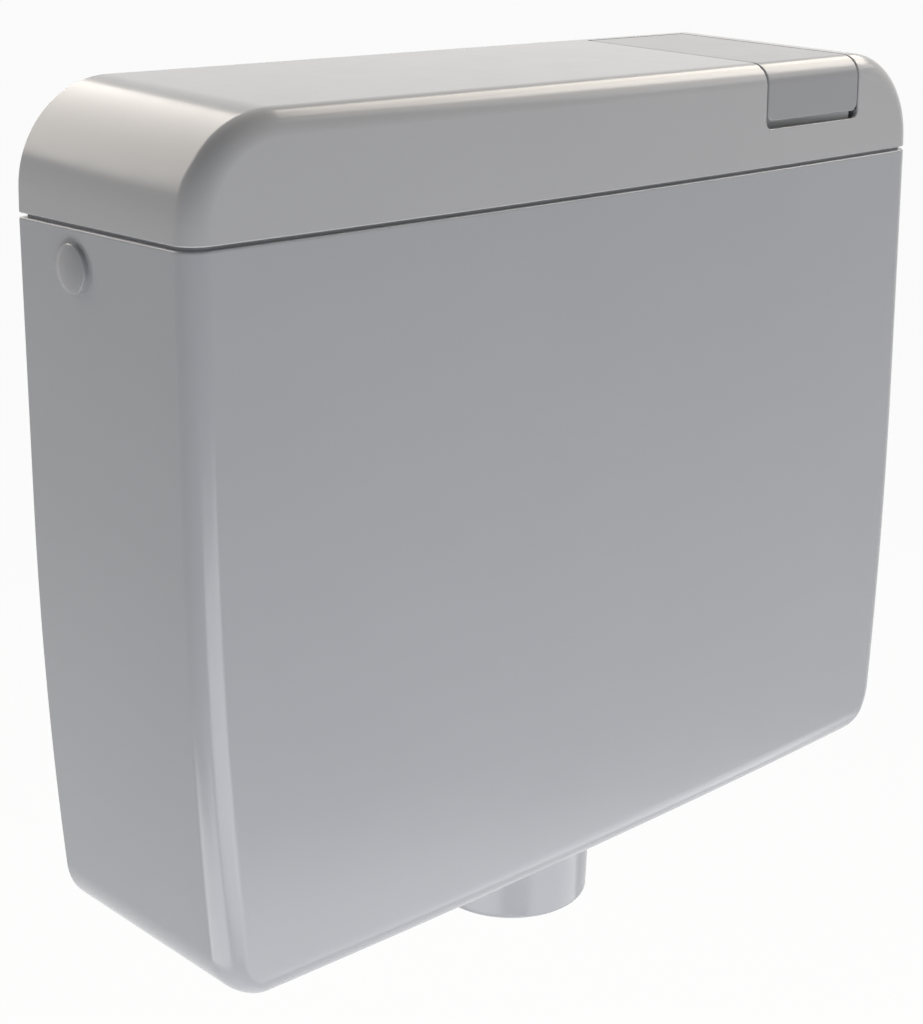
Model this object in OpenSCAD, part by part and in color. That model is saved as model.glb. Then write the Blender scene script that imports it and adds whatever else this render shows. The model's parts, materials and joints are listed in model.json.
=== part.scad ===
// Wall-hung low-level toilet cistern: moulded tank with a lift-off lid, a wrap-over flush plate,
// a rocker that lifts the outlet valve, a float-operated fill valve and a smooth outlet collar.
// Millimetres. X to the right, Y towards the wall, Z up. The wall is the plane y = 0, and the
// origin lies midway between the two wall slots.

/* [Shell] */
// Width over the tank and the lid at the seam
shell_w = 440; // [420:1:480]
// Depth from the wall to the middle of the front
shell_d = 120; // [114:1:140]
// Height of the tank below the seam
tank_h = 308; // [290:1:340]
// Height of the lid above the seam at the wall
lid_h = 53; // [50:1:62]
// Fall of the lid's top from the wall to the front
lid_fall = 5; // [1:0.5:7]
// Bulge of the front face at the middle
front_bow = 4.5; // [1:0.5:6]
// Radius of the upright front edges at the seam
edge_r = 10; // [8:0.5:13]
// Radius of the lid's top corners, seen from the front
crown_r = 42; // [34:1:46]
// Sideways draft of the lid, in mm for each mm of height
lid_draft = 0.03; // [0.01:0.005:0.05]
// Radius of the barrel curve down each side of the tank
side_r = 1850; // [1400:50:3000]
// Straight stretch of each side below the seam, before the barrel curve
side_start = 120; // [90:5:150]
// Radius of the tank's bottom corners, seen from the front
foot_r = 26; // [20:1:32]
// Radius of the tank's bottom front edge
toe_r = 12; // [10:0.5:15]
// Height of the open seam between the tank and the lid
seam_gap = 1.5; // [1:0.1:2]
// Small chamfer along the tank's upper edge
seam_chamfer = 1.2; // [0.8:0.1:1.8]

/* [Walls] */
// Wall of the lid and the flush plate
lid_wall = 2; // [1.6:0.1:2.6]
// Wall of the rim that stands up inside the lid
rim_wall = 1.8; // [1.4:0.1:2.6]
// Play between the rim and the lid
rim_clear = 0.4; // [0.3:0.1:0.8]
// Height of the rim above the seam
rim_h = 7; // [5:0.5:9]

/* [Wall fixing] */
// Distance between the two wall slots
slot_pitch = 160; // [120:1:200]
// Width of a wall slot across the screw
slot_w = 7; // [5:0.5:8]
// Length of a wall slot
slot_l = 16; // [12:0.5:22]
// Height of the seam above the wall slots
hang_drop = 22; // [18:1:30]
// Thickness of the pad behind each slot
pad_t = 3; // [2:0.5:4]

/* [Flush plate] */
// Distance of the flush plate from the right end of the shell
plate_inset = 49; // [44:1:56]
// Width of the flush plate
plate_w = 70; // [64:1:76]
// Height of the plate's lower edge above the seam
plate_low = 22; // [20:0.5:26]
// Opening left under the plate's lower edge for its travel
plate_stroke = 3.6; // [3.2:0.1:5]
// Gap round the plate
plate_gap = 0.8; // [0.6:0.1:1.2]
// Distance of the plate's rear edge from the wall
plate_back = 5; // [4:0.5:8]
// Radius of the plate's lower corners
plate_corner = 4; // [2:0.5:6]
// Distance of the hinge from the wall
hinge_back = 13; // [12:0.5:16]
// Depth of the hinge below the lid's top
hinge_drop = 10; // [9:0.5:12]
// Diameter of the hinge pin
hinge_d = 4; // [3:0.5:4.5]
// Distance of the push post from the wall
post_back = 100; // [94:1:102]
// Diameter of the push post
post_d = 8; // [6:0.5:10]

/* [Rocker] */
// Distance of the rocker's pin from the flush plate's left edge
fulcrum_in = 11; // [9:1:15]
// Length of the rocker's short arm, from its pin to the push post
push_arm = 26; // [22:1:30]
// Height of the rocker's pin above the seam
fulcrum_up = 10; // [8:0.5:12]
// Diameter of the rocker's pin
fulcrum_d = 5; // [4:0.5:6]
// Thickness of the rocker
rocker_t = 6; // [5:0.5:8]
// Width of the rocker's long arm
rocker_w = 16; // [12:1:18]
// Width of the bridge that carries the rocker
bridge_w = 24; // [20:1:28]
// Thickness of the bridge
bridge_t = 4; // [3:0.5:5]
// Depth of the ledges that carry the bridge
ledge_d = 11; // [9:0.5:13]
// Depth of the ledges' upper face below the seam
ledge_down = 12; // [10:0.5:16]

/* [Outlet] */
// Distance of the outlet behind the middle of the shell's depth
outlet_set = 4; // [0:0.5:8]
// Outside diameter of the outlet tail
tail_d = 59.6; // [57:0.1:61]
// Wall of the outlet tail round the flush pipe
tail_wall = 4.5; // [4:0.1:5.5]
// Shoulder above the flush pipe, where the tail narrows to the valve's throat
throat_step = 2; // [1.5:0.1:3]
// Length of the outlet tail below the tank
tail_len = 26; // [22:0.5:28]
// Lift of the round pad under the valve above the curve of the tank's floor
pad_lift = 3; // [1:0.1:4]
// Wall of the collar at the tank
collar_wall = 8.6; // [7.5:0.1:10]
// Narrowing of the collar's radius down to its lower end
collar_taper = 1.75; // [0.5:0.05:2.2]
// Height of the collar
collar_h = 40; // [36:0.5:44]
// Lip at the collar's lower end
collar_lip = 3; // [2:0.5:4]

/* [Outlet valve] */
// Outside diameter of the valve's riser tube
riser_d = 32; // [28:1:36]
// Wall of the riser tube
riser_wall = 2.4; // [1.8:0.1:3]
// Depth of the overflow mouth below the seam
overflow_down = 45; // [40:1:60]
// Height of the valve's cage above the seat
cage_h = 96; // [80:1:130]
// Height of the seat above its flange
seat_h = 14; // [12:0.5:18]
// Thickness of the valve's rubber seal
seal_t = 3; // [2:0.5:4]
// Diameter of the lift rod
rod_d = 8; // [6:0.5:9]
// Diameter of the head on the lift rod
head_d = 34; // [30:1:40]
// Play between the fork and the head, and between the post and the pad
touch_gap = 0.3; // [0.2:0.05:0.4]

/* [Fill valve] */
// Depth of the side inlets below the seam
inlet_down = 16.5; // [15:0.5:18]
// Distance of the side inlets from the wall
inlet_back = 39; // [37:0.5:44]
// Outside diameter of the inlet tail
inlet_d = 16.66; // [16:0.02:17]
// Length of the inlet tail outside the tank
inlet_len = 22; // [18:0.5:26]
// Diameter of the fill valve's barrel
barrel_d = 24; // [22:0.5:26]
// Length of the fill valve inside the tank
barrel_l = 68; // [66:1:70]
// Bore of the piston chamber
piston_d = 16; // [14:0.5:17]
// Depth of the float arm's pin below the barrel's axis
arm_down = 20; // [19:0.5:22]
// Length of the float arm from its pin to the float rod
arm_l = 72; // [66:1:76]
// Swing of the float arm from empty to full, in degrees
arm_swing = 22; // [16:1:24]
// Diameter of the float arm's pin
arm_pin_d = 3; // [2.5:0.5:4]
// Diameter of the float
float_d = 54; // [44:1:58]
// Height of the float
float_h = 58; // [46:1:66]
// Wall of the float
float_wall = 1.8; // [1.4:0.1:2.4]
// Drop from the float arm to the float
float_drop = 18; // [16:1:26]
// Length of the drop tube
drop_l = 170; // [120:1:200]
// Diameter of the blanking plug's head
plug_d = 20; // [18.5:0.5:24]
// Width of the hexagon nuts across the flats
nut_af = 24; // [22:0.5:26]

/* [Hidden] */
$fn = 64;
eps = 0.01;
edge_n = 7;
front_n = 8;
side_n = 6;
foot_n = 8;
barrel_n = 4;
brow_n = 8;
turn_min = 8;
run = 0.3;
fit = 0.1;
seam_z = hang_drop;
half_w = shell_w / 2;
tank_wall = lid_wall + rim_clear + rim_wall;
rim_in = lid_wall + rim_clear;
tank_z = seam_z - tank_h;
lid_low = seam_gap / 2;
corner_min = 2;

// Side arc of the tank and the corner arc that runs on from it, seen from the front
side_x = half_w - side_r;
foot_z = foot_r - tank_h;
foot_x = side_x + sqrt(pow(side_r - foot_r, 2) - pow(foot_z + side_start, 2));
foot_a = asin((-side_start - foot_z) / (side_r - foot_r));

// Flush plate
plate_end = half_w - plate_inset;
plate_x = plate_end - plate_w;
fulcrum_x = plate_x + fulcrum_in;
post_free = 12;
open_low = plate_low - plate_stroke;
hinge_z = seam_z + lid_h - hinge_drop;
well_t = 3;
well_out = 2 * (plate_gap + well_t);
ear_t = 4;
knuckle_t = 5;
rib_t = 2.4;
rib_d = 7;
knuckle_r = hinge_d / 2 + 2.5;
push_x = fulcrum_x + push_arm;

// Rocker
fulcrum_z = seam_z + fulcrum_up;
hub_r = fulcrum_d / 2 + 4;
pad_top = fulcrum_z + rocker_t;
nose_r = 3.2;
fork_in = rod_d / 2 + 2;
fork_w = 6;
nose_z = fulcrum_z + rocker_t - nose_r + 1;
ledge_z = seam_z - ledge_down;
ledge_h = 12;
screw_d = 3.2;

// Outlet and valve
outlet_back = shell_d / 2 - outlet_set;
tail_bore = tail_d - 2 * tail_wall;
throat_d = tail_bore - 2 * throat_step;
collar_r = tail_d / 2 + run + collar_wall;
collar_end_r = collar_r - collar_taper;
washer_t = 3;
seat_flange_t = 4;
seat_flange_w = 12;
seal_over = 6.5;
clamp_neck_l = 14;
wing_l = 18;
guide_l = 22;
seat_flange_r = tail_d / 2 + seat_flange_w;
pad_r = seat_flange_r + 1;
toe_in = max(outlet_back + pad_r - shell_d + toe_r, 0);
seat_pad = toe_r - tank_wall - sqrt(max(pow(toe_r - tank_wall, 2) - toe_in * toe_in, 0)) + pad_lift;
floor_z = tank_z + tank_wall + seat_pad;
flange_z = floor_z + washer_t;
seat_z = flange_z + seat_flange_t + seat_h;
cage_z = flange_z + seat_flange_t;
cage_top = seat_z + cage_h;
cage_t = 5;
riser_r = riser_d / 2;
riser_z = seat_z + seal_t;
backing_t = 3;
mouth_z = seam_z - overflow_down;
head_z = nose_z + nose_r + touch_gap;
head_t = 4;

// Fill valve
inlet_z = seam_z - inlet_down;
wall_x = half_w - tank_wall;
inlet_washer_t = 2;
barrel_end = wall_x - barrel_l;
barrel_flange_t = 4;
cap_l = 8;
cap_r = barrel_d / 2 + 2;
arm_in = 17;
arm_x = barrel_end + arm_in;
arm_z = inlet_z - arm_down;
cam_r = arm_down - 3;
cam_tip = 2.8;
arm_w = 7.6;
arm_t = 6;
eye_r = 5.5;
eye_h = 12;
float_rod_r = 2;
float_boss_l = 12;
float_nut_t = 3;
lug_t = 4;
lug_w = 12;
arm_slot = 16;
lug_in = arm_w / 2 + 0.4;
piston_r = piston_d / 2 - run;
piston_stroke = 2 * cam_r * sin(arm_swing / 2);
notch_x = arm_x - cam_r * sin(arm_swing / 2);
piston_x = notch_x - cam_tip - 5;
piston_l = 26;
piston_washer_t = 3;
nozzle_tip = piston_x + piston_l + piston_washer_t + piston_stroke + run;
nozzle_l = 9;
outlet_x = piston_x + piston_l + 1;
spigot_r = 7;
spigot_l = 9;
drop_wall = 1.6;
back_nut_t = 7;
plug_t = 3.4;

// How far the bowed front lies behind the middle of the front, x from the middle
function bow(x) = front_bow * pow(x / half_w, 2);

function flip(list) = [for (i = [len(list) - 1:-1:0]) list[i]];

// One level of the tank: a ring that is flat at the wall, round at both front edges and bowed in front
function plan_ring(hw, back, front, r, z) = [
    for (p = concat(
        [[hw, -back]],
        [for (i = [0:edge_n]) let (a = 90 * i / edge_n) [hw - r + r * cos(a), r - front - r * sin(a)]],
        [for (i = [1:front_n - 1]) [(hw - r) * (1 - 2 * i / front_n), -front]],
        [for (i = [edge_n:-1:0]) let (a = 90 * i / edge_n) [r - hw - r * cos(a), r - front - r * sin(a)]],
        [[-hw, -back]]))
    [p[0], p[1] < -back ? p[1] + bow(p[0]) : p[1], seam_z + z]];

// Depth of the tank's front at a level, rounded under at the bottom edge, for a wall of thickness t
function tank_front(z, t) =
    let (low = toe_r - tank_h - z)
    low <= 0 ? shell_d - t : shell_d - toe_r + sqrt(max(pow(toe_r - t, 2) - low * low, 0));

// Radius of the upright front edges at a level, which grows down to the bottom and closes round the corner
function tank_edge(z, t) =
    max(edge_r + (toe_r - edge_r) * pow(z / tank_h, 2) - t - (shell_d - t - tank_front(z, t)), corner_min);

function tank_ring(hw, z, t, back) = plan_ring(hw, back, tank_front(z, t), tank_edge(z, t), z);

// Levels of the tank from its bottom up to the straight part of its sides
function tank_rings(t, back) = concat(
    [for (i = [foot_n:-1:0])
        let (a = foot_a + (90 - foot_a) * i / foot_n)
        tank_ring(foot_x + (foot_r - t) * cos(a), foot_z - (foot_r - t) * sin(a), t, back)],
    [for (i = [barrel_n - 1:-1:0])
        let (a = foot_a * i / barrel_n)
        tank_ring(side_x + (side_r - t) * cos(a), -side_start - (side_r - t) * sin(a), t, back)]);

// Closed skin over a stack of rings that run clockwise seen from above
module skin(rings) {
    n = len(rings[0]);
    m = len(rings);
    polyhedron(
        points = [for (r = rings) each r],
        faces = concat(
            [[for (i = [n - 1:-1:0]) i]],
            [[for (i = [0:n - 1]) (m - 1) * n + i]],
            [for (j = [0:m - 2], i = [0:n - 1])
                let (k = (i + 1) % n)
                each [
                    [j * n + i, j * n + k, (j + 1) * n + k],
                    [j * n + i, (j + 1) * n + k, (j + 1) * n + i]]]));
}

// Tank wall as one skin: up the outside, over the seam edge and the rim, and down the inside
module tank_wall_skin() {
    top = -seam_gap / 2;
    inner = tank_wall;
    skin(concat(
        tank_rings(0, 0),
        [tank_ring(half_w, top - seam_chamfer, 0, 0)],
        [tank_ring(half_w - seam_chamfer / 2, top, seam_chamfer / 2, 0)],
        [tank_ring(half_w - rim_in, top, rim_in, rim_in)],
        [tank_ring(half_w - rim_in, rim_h, rim_in, rim_in)],
        [tank_ring(half_w - inner, rim_h, inner, inner)],
        [tank_ring(half_w - inner, top, inner, inner)],
        flip(tank_rings(inner, inner))));
}

// Solid of the tank's outline, to trim what is moulded onto its walls
module tank_body(t) {
    skin(concat(tank_rings(t, t), [tank_ring(half_w - t, -seam_gap, t, t)]));
}

// Half width of the lid at a level, for an outline that is cut back all round, seen from the front
function lid_half(z, cut) =
    let (up = z - (lid_h - crown_r))
    up <= 0 ? half_w - cut : half_w - crown_r + sqrt(max(pow(crown_r - cut, 2) - up * up, 0));

// One level of the lid. The edge radius runs round the front outline, so near the top only its first
// degrees, up to turn, are left in the ring
function lid_ring(z, t, turn, back) =
    let (
        r = edge_r - t,
        right = concat(
            [[lid_half(z, t), -back]],
            [for (i = [0:edge_n])
                let (a = turn * i / edge_n, x = lid_half(z, t + r * (1 - cos(a))))
                [x, bow(x) - (shell_d - edge_r) - r * sin(a)]]),
        tip = right[edge_n + 1][0],
        front = -(shell_d - edge_r) - r * sin(turn))
    [for (p = concat(
        right,
        [for (i = [1:front_n - 1]) let (x = tip * (1 - 2 * i / front_n)) [x, bow(x) + front]],
        [for (p = flip(right)) [-p[0], p[1]]]))
    [p[0] * (1 - lid_draft * z / half_w), p[1], seam_z + z + lid_fall * p[1] / shell_d * z / lid_h]];

// Levels of the lid from just above its straight sides to its top, inside a wall of thickness t
function lid_rings(t, back) =
    let (r = edge_r - t)
    concat(
        [for (i = [0:side_n - 1]) lid_ring(lid_h - crown_r + (crown_r - edge_r) * i / side_n, t, 90, back)],
        [for (i = [0:brow_n])
            let (turn = max(90 - 90 * i / brow_n, turn_min))
            lid_ring(lid_h - edge_r + r * cos(turn), t, turn, back)]);

// Solid of the lid inside a wall of thickness t, down to a level above the seam
module lid_form(t, low) {
    skin(concat([lid_ring(low, t, 90, t)], lid_rings(t, t)));
}

// Lid wall as one skin: down the inside, round the lower edge and up the outside
module lid_wall_skin() {
    skin(concat(
        flip(lid_rings(lid_wall, lid_wall)),
        [lid_ring(lid_low, lid_wall, 90, lid_wall)],
        [lid_ring(lid_low, seam_chamfer / 2, 90, 0)],
        [lid_ring(lid_low + seam_chamfer, 0, 90, 0)],
        lid_rings(0, 0)));
}

// Straight hole along Y through the rear wall, longer than it is high
module wall_slot(x) {
    half = (slot_l - slot_w) / 2;
    translate([x, eps, 0]) rotate([90, 0, 0]) {
        translate([-half, 0, 0]) cylinder(d = slot_w, h = tank_wall + pad_t + 2);
        translate([half, 0, 0]) cylinder(d = slot_w, h = tank_wall + pad_t + 2);
        translate([-half, -slot_w / 2, 0]) cube([2 * half, slot_w, tank_wall + pad_t + 2]);
    }
}

// Cylinder along X from x, at the height and depth of the side inlets
module inlet_rod(x, l, r) {
    translate([x, -inlet_back, inlet_z]) rotate([0, 90, 0]) cylinder(r = r, h = l);
}

// Ring along X from x, at the height and depth of the side inlets
module inlet_ring(x, l, r, bore) {
    difference() {
        inlet_rod(x, l, r);
        inlet_rod(x - 1, l + 2, bore);
    }
}

// Inner face of the tank's front wall at a distance from the middle
function front_in(x) = -(shell_d - tank_wall) + bow(x);

module ledge(y, depth) {
    translate([fulcrum_x - bridge_w / 2 - 2, y, ledge_z - ledge_h]) cube([bridge_w + 4, depth, ledge_h]);
}

module bridge_hole(y, d, z, h) {
    translate([fulcrum_x, y, z]) cylinder(d = d, h = h);
}

bridge_rear = -tank_wall - run;
bridge_front = front_in(fulcrum_x + bridge_w / 2) + run;
screw_rear = -tank_wall - ledge_d / 2;
screw_front = front_in(fulcrum_x) + ledge_d / 2;

module tank() {
    color("gainsboro") difference() {
        union() {
            tank_wall_skin();
            intersection() {
                tank_body(1);
                union() {
                    ledge(-tank_wall - ledge_d, ledge_d + tank_wall);
                    ledge(front_in(fulcrum_x) - tank_wall, ledge_d + tank_wall);
                    translate([0, -outlet_back, tank_z])
                        cylinder(r = pad_r, h = tank_wall + seat_pad);
                    for (side = [-1, 1])
                        translate([side * slot_pitch / 2 - slot_l, -tank_wall - pad_t, -slot_w - 4])
                            cube([2 * slot_l, pad_t + tank_wall, 2 * slot_w + 8]);
                }
            }
        }
        for (side = [-1, 1]) wall_slot(side * slot_pitch / 2);
        inlet_rod(wall_x - 1, tank_wall + 2, inlet_d / 2 + run);
        inlet_rod(-half_w - 1, tank_wall + 2, inlet_d / 2 + run);
        translate([0, -outlet_back, tank_z - 1])
            cylinder(d = tail_d + 2 * run, h = tank_wall + seat_pad + 2);
        bridge_hole(screw_rear, screw_d + 2 * fit, ledge_z - ledge_h + 1, ledge_h);
        bridge_hole(screw_front, screw_d + 2 * fit, ledge_z - ledge_h + 1, ledge_h);
    }
}

// Box over the plate's width, from its lower edge up, with round lower corners seen from the front
module plate_window(grow, low, rear = 0) {
    r = plate_corner;
    x0 = plate_x - grow;
    x1 = plate_end + grow;
    translate([0, -plate_back + max(grow, rear), seam_z]) rotate([90, 0, 0]) linear_extrude(shell_d + 1) {
        translate([x0, low + r]) square([x1 - x0, lid_h + 10 - low - r]);
        translate([x0 + r, low]) square([x1 - x0 - 2 * r, r + eps]);
        translate([x0 + r, low + r]) circle(r);
        translate([x1 - r, low + r]) circle(r);
    }
}

module hinge_rod(x, l, r) {
    translate([x, -hinge_back, hinge_z]) rotate([0, 90, 0]) cylinder(r = r, h = l);
}

// Upright rib under the lid, whose foot stands on the tank's rim
module lid_rib(x, y, w, d) {
    translate([x - w / 2, y - d / 2, seam_z + rim_h]) cube([w, d, lid_h]);
}

// Side wall of the well that the flush plate drops into
module well_wall(x) {
    translate([x, -shell_d, seam_z + open_low]) cube([well_t, shell_d, lid_h]);
}

module lid() {
    color("gainsboro") difference() {
        union() {
            lid_wall_skin();
            intersection() {
                lid_form(lid_wall / 2, lid_low);
                union() {
                    well_wall(plate_x - plate_gap - well_t);
                    well_wall(plate_end + plate_gap);
                    for (side = [-1, 1], y = [0.3, 0.7])
                        lid_rib(side * (half_w - rib_d / 2), -shell_d * y, rib_d, rib_t);
                    for (x = [-half_w / 2, 0]) {
                        lid_rib(x, bow(x) - shell_d + rib_d / 2, rib_t, rib_d);
                        lid_rib(x, -rib_d / 2, rib_t, rib_d);
                    }
                }
            }
        }
        plate_window(plate_gap, open_low);
        hinge_rod(plate_x - well_out, plate_w + 2 * well_out, hinge_d / 2 + fit);
    }
}

module push_post() {
    r = post_d / 2;
    low = pad_top + touch_gap;
    translate([push_x, -post_back, low + r]) {
        cylinder(r = r, h = lid_h);
        sphere(r = r);
    }
    translate([push_x - 1, -post_back - post_d, low + post_free]) cube([2, 2 * post_d, lid_h]);
    translate([push_x - post_d, -post_back - 1, low + post_free]) cube([2 * post_d, 2, lid_h]);
}

module flush_plate() {
    color("whitesmoke") difference() {
        intersection() {
            lid_form(0, lid_low);
            union() {
                difference() {
                    plate_window(0, plate_low);
                    intersection() {
                        lid_form(lid_wall, lid_low);
                        plate_window(-lid_wall, lid_low + 1, lid_wall);
                    }
                }
                for (x = [plate_x + 4, plate_end - 4 - knuckle_t])
                    translate([x, -hinge_back, hinge_z]) {
                        rotate([0, 90, 0]) cylinder(r = knuckle_r, h = knuckle_t);
                        translate([0, -knuckle_r, 0])
                            cube([knuckle_t, 2 * knuckle_r, hinge_drop - lid_wall / 2 - 1]);
                    }
                push_post();
            }
        }
        hinge_rod(plate_x - well_out, plate_w + 2 * well_out, hinge_d / 2 + run);
    }
}

module plate_hinge_pin() {
    color("silver") hinge_rod(plate_x - well_out / 2, plate_w + well_out, hinge_d / 2);
}

module bridge_ear(y) {
    translate([fulcrum_x, y, fulcrum_z]) rotate([90, 0, 0]) cylinder(r = hub_r, h = ear_t);
    translate([fulcrum_x - hub_r, y - ear_t, ledge_z + bridge_t - eps])
        cube([2 * hub_r, ear_t, fulcrum_z - ledge_z - bridge_t]);
}

module fulcrum_rod(l, r) {
    translate([fulcrum_x, -outlet_back + l / 2, fulcrum_z]) rotate([90, 0, 0]) cylinder(r = r, h = l);
}

module rocker_bridge() {
    color("white") difference() {
        union() {
            translate([fulcrum_x - bridge_w / 2, bridge_front, ledge_z])
                cube([bridge_w, bridge_rear - bridge_front, bridge_t]);
            bridge_ear(-outlet_back + rocker_w / 2 + 0.5 + ear_t);
            bridge_ear(-outlet_back - rocker_w / 2 - 0.5);
        }
        fulcrum_rod(3 * rocker_w, fulcrum_d / 2 + fit);
        bridge_hole(screw_rear, screw_d + 2 * run, ledge_z - 1, bridge_t + 2);
        bridge_hole(screw_front, screw_d + 2 * run, ledge_z - 1, bridge_t + 2);
    }
}

module rocker_pin() {
    color("silver") fulcrum_rod(rocker_w + 2 * ear_t + 3, fulcrum_d / 2);
}

module bridge_screw(y) {
    color("silver") {
        bridge_hole(y, screw_d, ledge_z - ledge_h + 3, ledge_h - 3 + bridge_t + 1);
        translate([fulcrum_x, y, ledge_z + bridge_t]) rotate_extrude()
            polygon([[0, 0], [3.2, 0], [3.2, 1.2], [2.2, 2.2], [0, 2.4]]);
    }
}

module bridge_screw_rear() {
    bridge_screw(screw_rear);
}

module bridge_screw_front() {
    bridge_screw(screw_front);
}

// Rocker seen from above: fork, long arm, hub, and the short arm that reaches forward to the push pad
module rocker() {
    t = rocker_t - 2;
    low = fulcrum_z - t / 2;
    yoke = rod_d / 2 + 6;
    color("white") difference() {
        union() {
            for (side = [-1, 1]) {
                y = side * (fork_in + fork_w / 2) - outlet_back;
                translate([-nose_r, y - fork_w / 2, low]) cube([yoke + nose_r + 1, fork_w, t]);
                translate([-nose_r, y - fork_w / 2, low]) cube([2 * nose_r, fork_w, nose_z - low]);
                translate([0, y + fork_w / 2, nose_z]) rotate([90, 0, 0]) cylinder(r = nose_r, h = fork_w);
            }
            translate([yoke, -outlet_back - fork_in - fork_w, low]) cube([8, 2 * (fork_in + fork_w), t]);
            translate([yoke, -outlet_back - rocker_w / 2, low]) cube([fulcrum_x - yoke, rocker_w, t]);
            translate([yoke + 4, -outlet_back - 1.5, low - 5]) cube([fulcrum_x - yoke - 4, 3, 6]);
            fulcrum_rod(rocker_w, hub_r);
            translate([0, 0, low]) linear_extrude(t)
                polygon([
                    [fulcrum_x, -outlet_back + rocker_w / 2],
                    [push_x - 4, -outlet_back + rocker_w / 2],
                    [push_x + 6, -outlet_back + rocker_w / 2 - 8],
                    [push_x + 6, -post_back],
                    [push_x - 6, -post_back],
                    [push_x - 6, -outlet_back - rocker_w / 2],
                    [fulcrum_x, -outlet_back - rocker_w / 2]]);
            translate([push_x, -post_back, low]) cylinder(r = post_d, h = pad_top - low);
        }
        fulcrum_rod(3 * rocker_w, fulcrum_d / 2 + run);
    }
}

module outlet_axis(z) {
    translate([0, -outlet_back, z]) children();
}

module outlet_ring(z, h, r, bore) {
    outlet_axis(z) difference() {
        cylinder(r = r, h = h);
        translate([0, 0, -1]) cylinder(r = bore, h = h + 2);
    }
}

module valve_seat() {
    bore = throat_d / 2;
    tail = tail_d / 2;
    crown = bore + 4;
    color("white") outlet_axis(0) rotate_extrude() polygon([
        [bore, tank_z],
        [tail_bore / 2, tank_z],
        [tail_bore / 2, tank_z - tail_len],
        [tail, tank_z - tail_len],
        [tail, flange_z],
        [seat_flange_r, flange_z],
        [seat_flange_r, flange_z + seat_flange_t],
        [crown + 2.5, flange_z + seat_flange_t],
        [crown + 0.5, seat_z - 3],
        [crown, seat_z],
        [bore + 1.5, seat_z],
        [bore, seat_z - 2]]);
}

module seat_washer() {
    color("dimgray") outlet_ring(floor_z, washer_t, seat_flange_r - 2, tail_d / 2 + run);
}

module outlet_nut() {
    bore = tail_d / 2 + run;
    color("gainsboro") outlet_axis(tank_z) rotate_extrude() polygon([
        [bore, 0],
        [collar_r, 0],
        [collar_end_r, 1 - collar_h],
        [collar_end_r - 1, -collar_h],
        [tail_bore / 2 + 1.2, -collar_h],
        [tail_bore / 2 + 1.2, collar_lip - collar_h],
        [bore, collar_lip - collar_h]]);
}

module pipe_seal() {
    color("dimgray") outlet_ring(tank_z - collar_h + collar_lip, collar_h - collar_lip - tail_len,
        tail_d / 2 - 0.5, tail_bore / 2 + 0.4);
}

module valve_cage() {
    guide = riser_r + 0.6;
    outer = seat_flange_r - 0.5;
    color("white") {
        outlet_ring(cage_z, 5, outer, outer - 6);
        outlet_ring(cage_top - cage_t, cage_t, outer, guide);
        outlet_ring(cage_top - guide_l, guide_l, guide + 2.4, guide);
        for (a = [45:90:315])
            outlet_axis(cage_z) rotate([0, 0, a])
                translate([outer - 6, -5, 0]) cube([5, 10, cage_top - cage_z]);
    }
}

module valve_riser() {
    bore = riser_r - riser_wall;
    color("whitesmoke") outlet_axis(0) rotate_extrude() polygon([
        [bore, riser_z],
        [throat_d / 2 + 5, riser_z],
        [throat_d / 2 + 5, riser_z + backing_t],
        [riser_r + 4, riser_z + backing_t],
        [riser_r, riser_z + backing_t + 4],
        [riser_r, mouth_z],
        [bore, mouth_z]]);
}

module valve_seal() {
    color("dimgray") outlet_ring(seat_z, seal_t, throat_d / 2 + seal_over, riser_r - 1);
}

module seal_clamp() {
    neck = riser_r - riser_wall - fit;
    bore = neck - 2.4;
    wing = throat_d / 2 - 1;
    flare = throat_d / 2 - 3;
    color("white") outlet_axis(0) {
        rotate_extrude() polygon([
            [bore, seat_z - 4],
            [flare, seat_z - 4],
            [flare, seat_z],
            [neck, seat_z],
            [neck, riser_z + clamp_neck_l],
            [bore, riser_z + clamp_neck_l]]);
        for (a = [0:90:270]) rotate([0, 0, a])
            translate([bore + 0.4, -1, seat_z - 2 - wing_l]) cube([wing - bore - 0.4, 2, wing_l]);
    }
}

module lift_rod() {
    bore = riser_r - riser_wall - fit;
    color("silver") outlet_axis(0) {
        translate([0, 0, mouth_z - 8]) cylinder(d = rod_d, h = head_z + head_t - mouth_z + 8);
        intersection() {
            translate([0, 0, mouth_z - 8]) cylinder(r = bore, h = 7);
            union() {
                translate([-riser_d, -2, mouth_z - 8]) cube([2 * riser_d, 4, 7]);
                translate([-2, -riser_d, mouth_z - 8]) cube([4, 2 * riser_d, 7]);
            }
        }
    }
}

module lift_head() {
    r = head_d / 2;
    hole = rod_d / 2 + fit;
    color("white") outlet_axis(head_z) rotate_extrude() polygon([
        [hole, 0], [r - 1, 0], [r, 1], [r, head_t - 1], [r - 1, head_t], [rod_d, head_t],
        [rod_d / 2 + 2, head_t + 4], [0, head_t + 4], [0, head_t], [hole, head_t]]);
}

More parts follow.
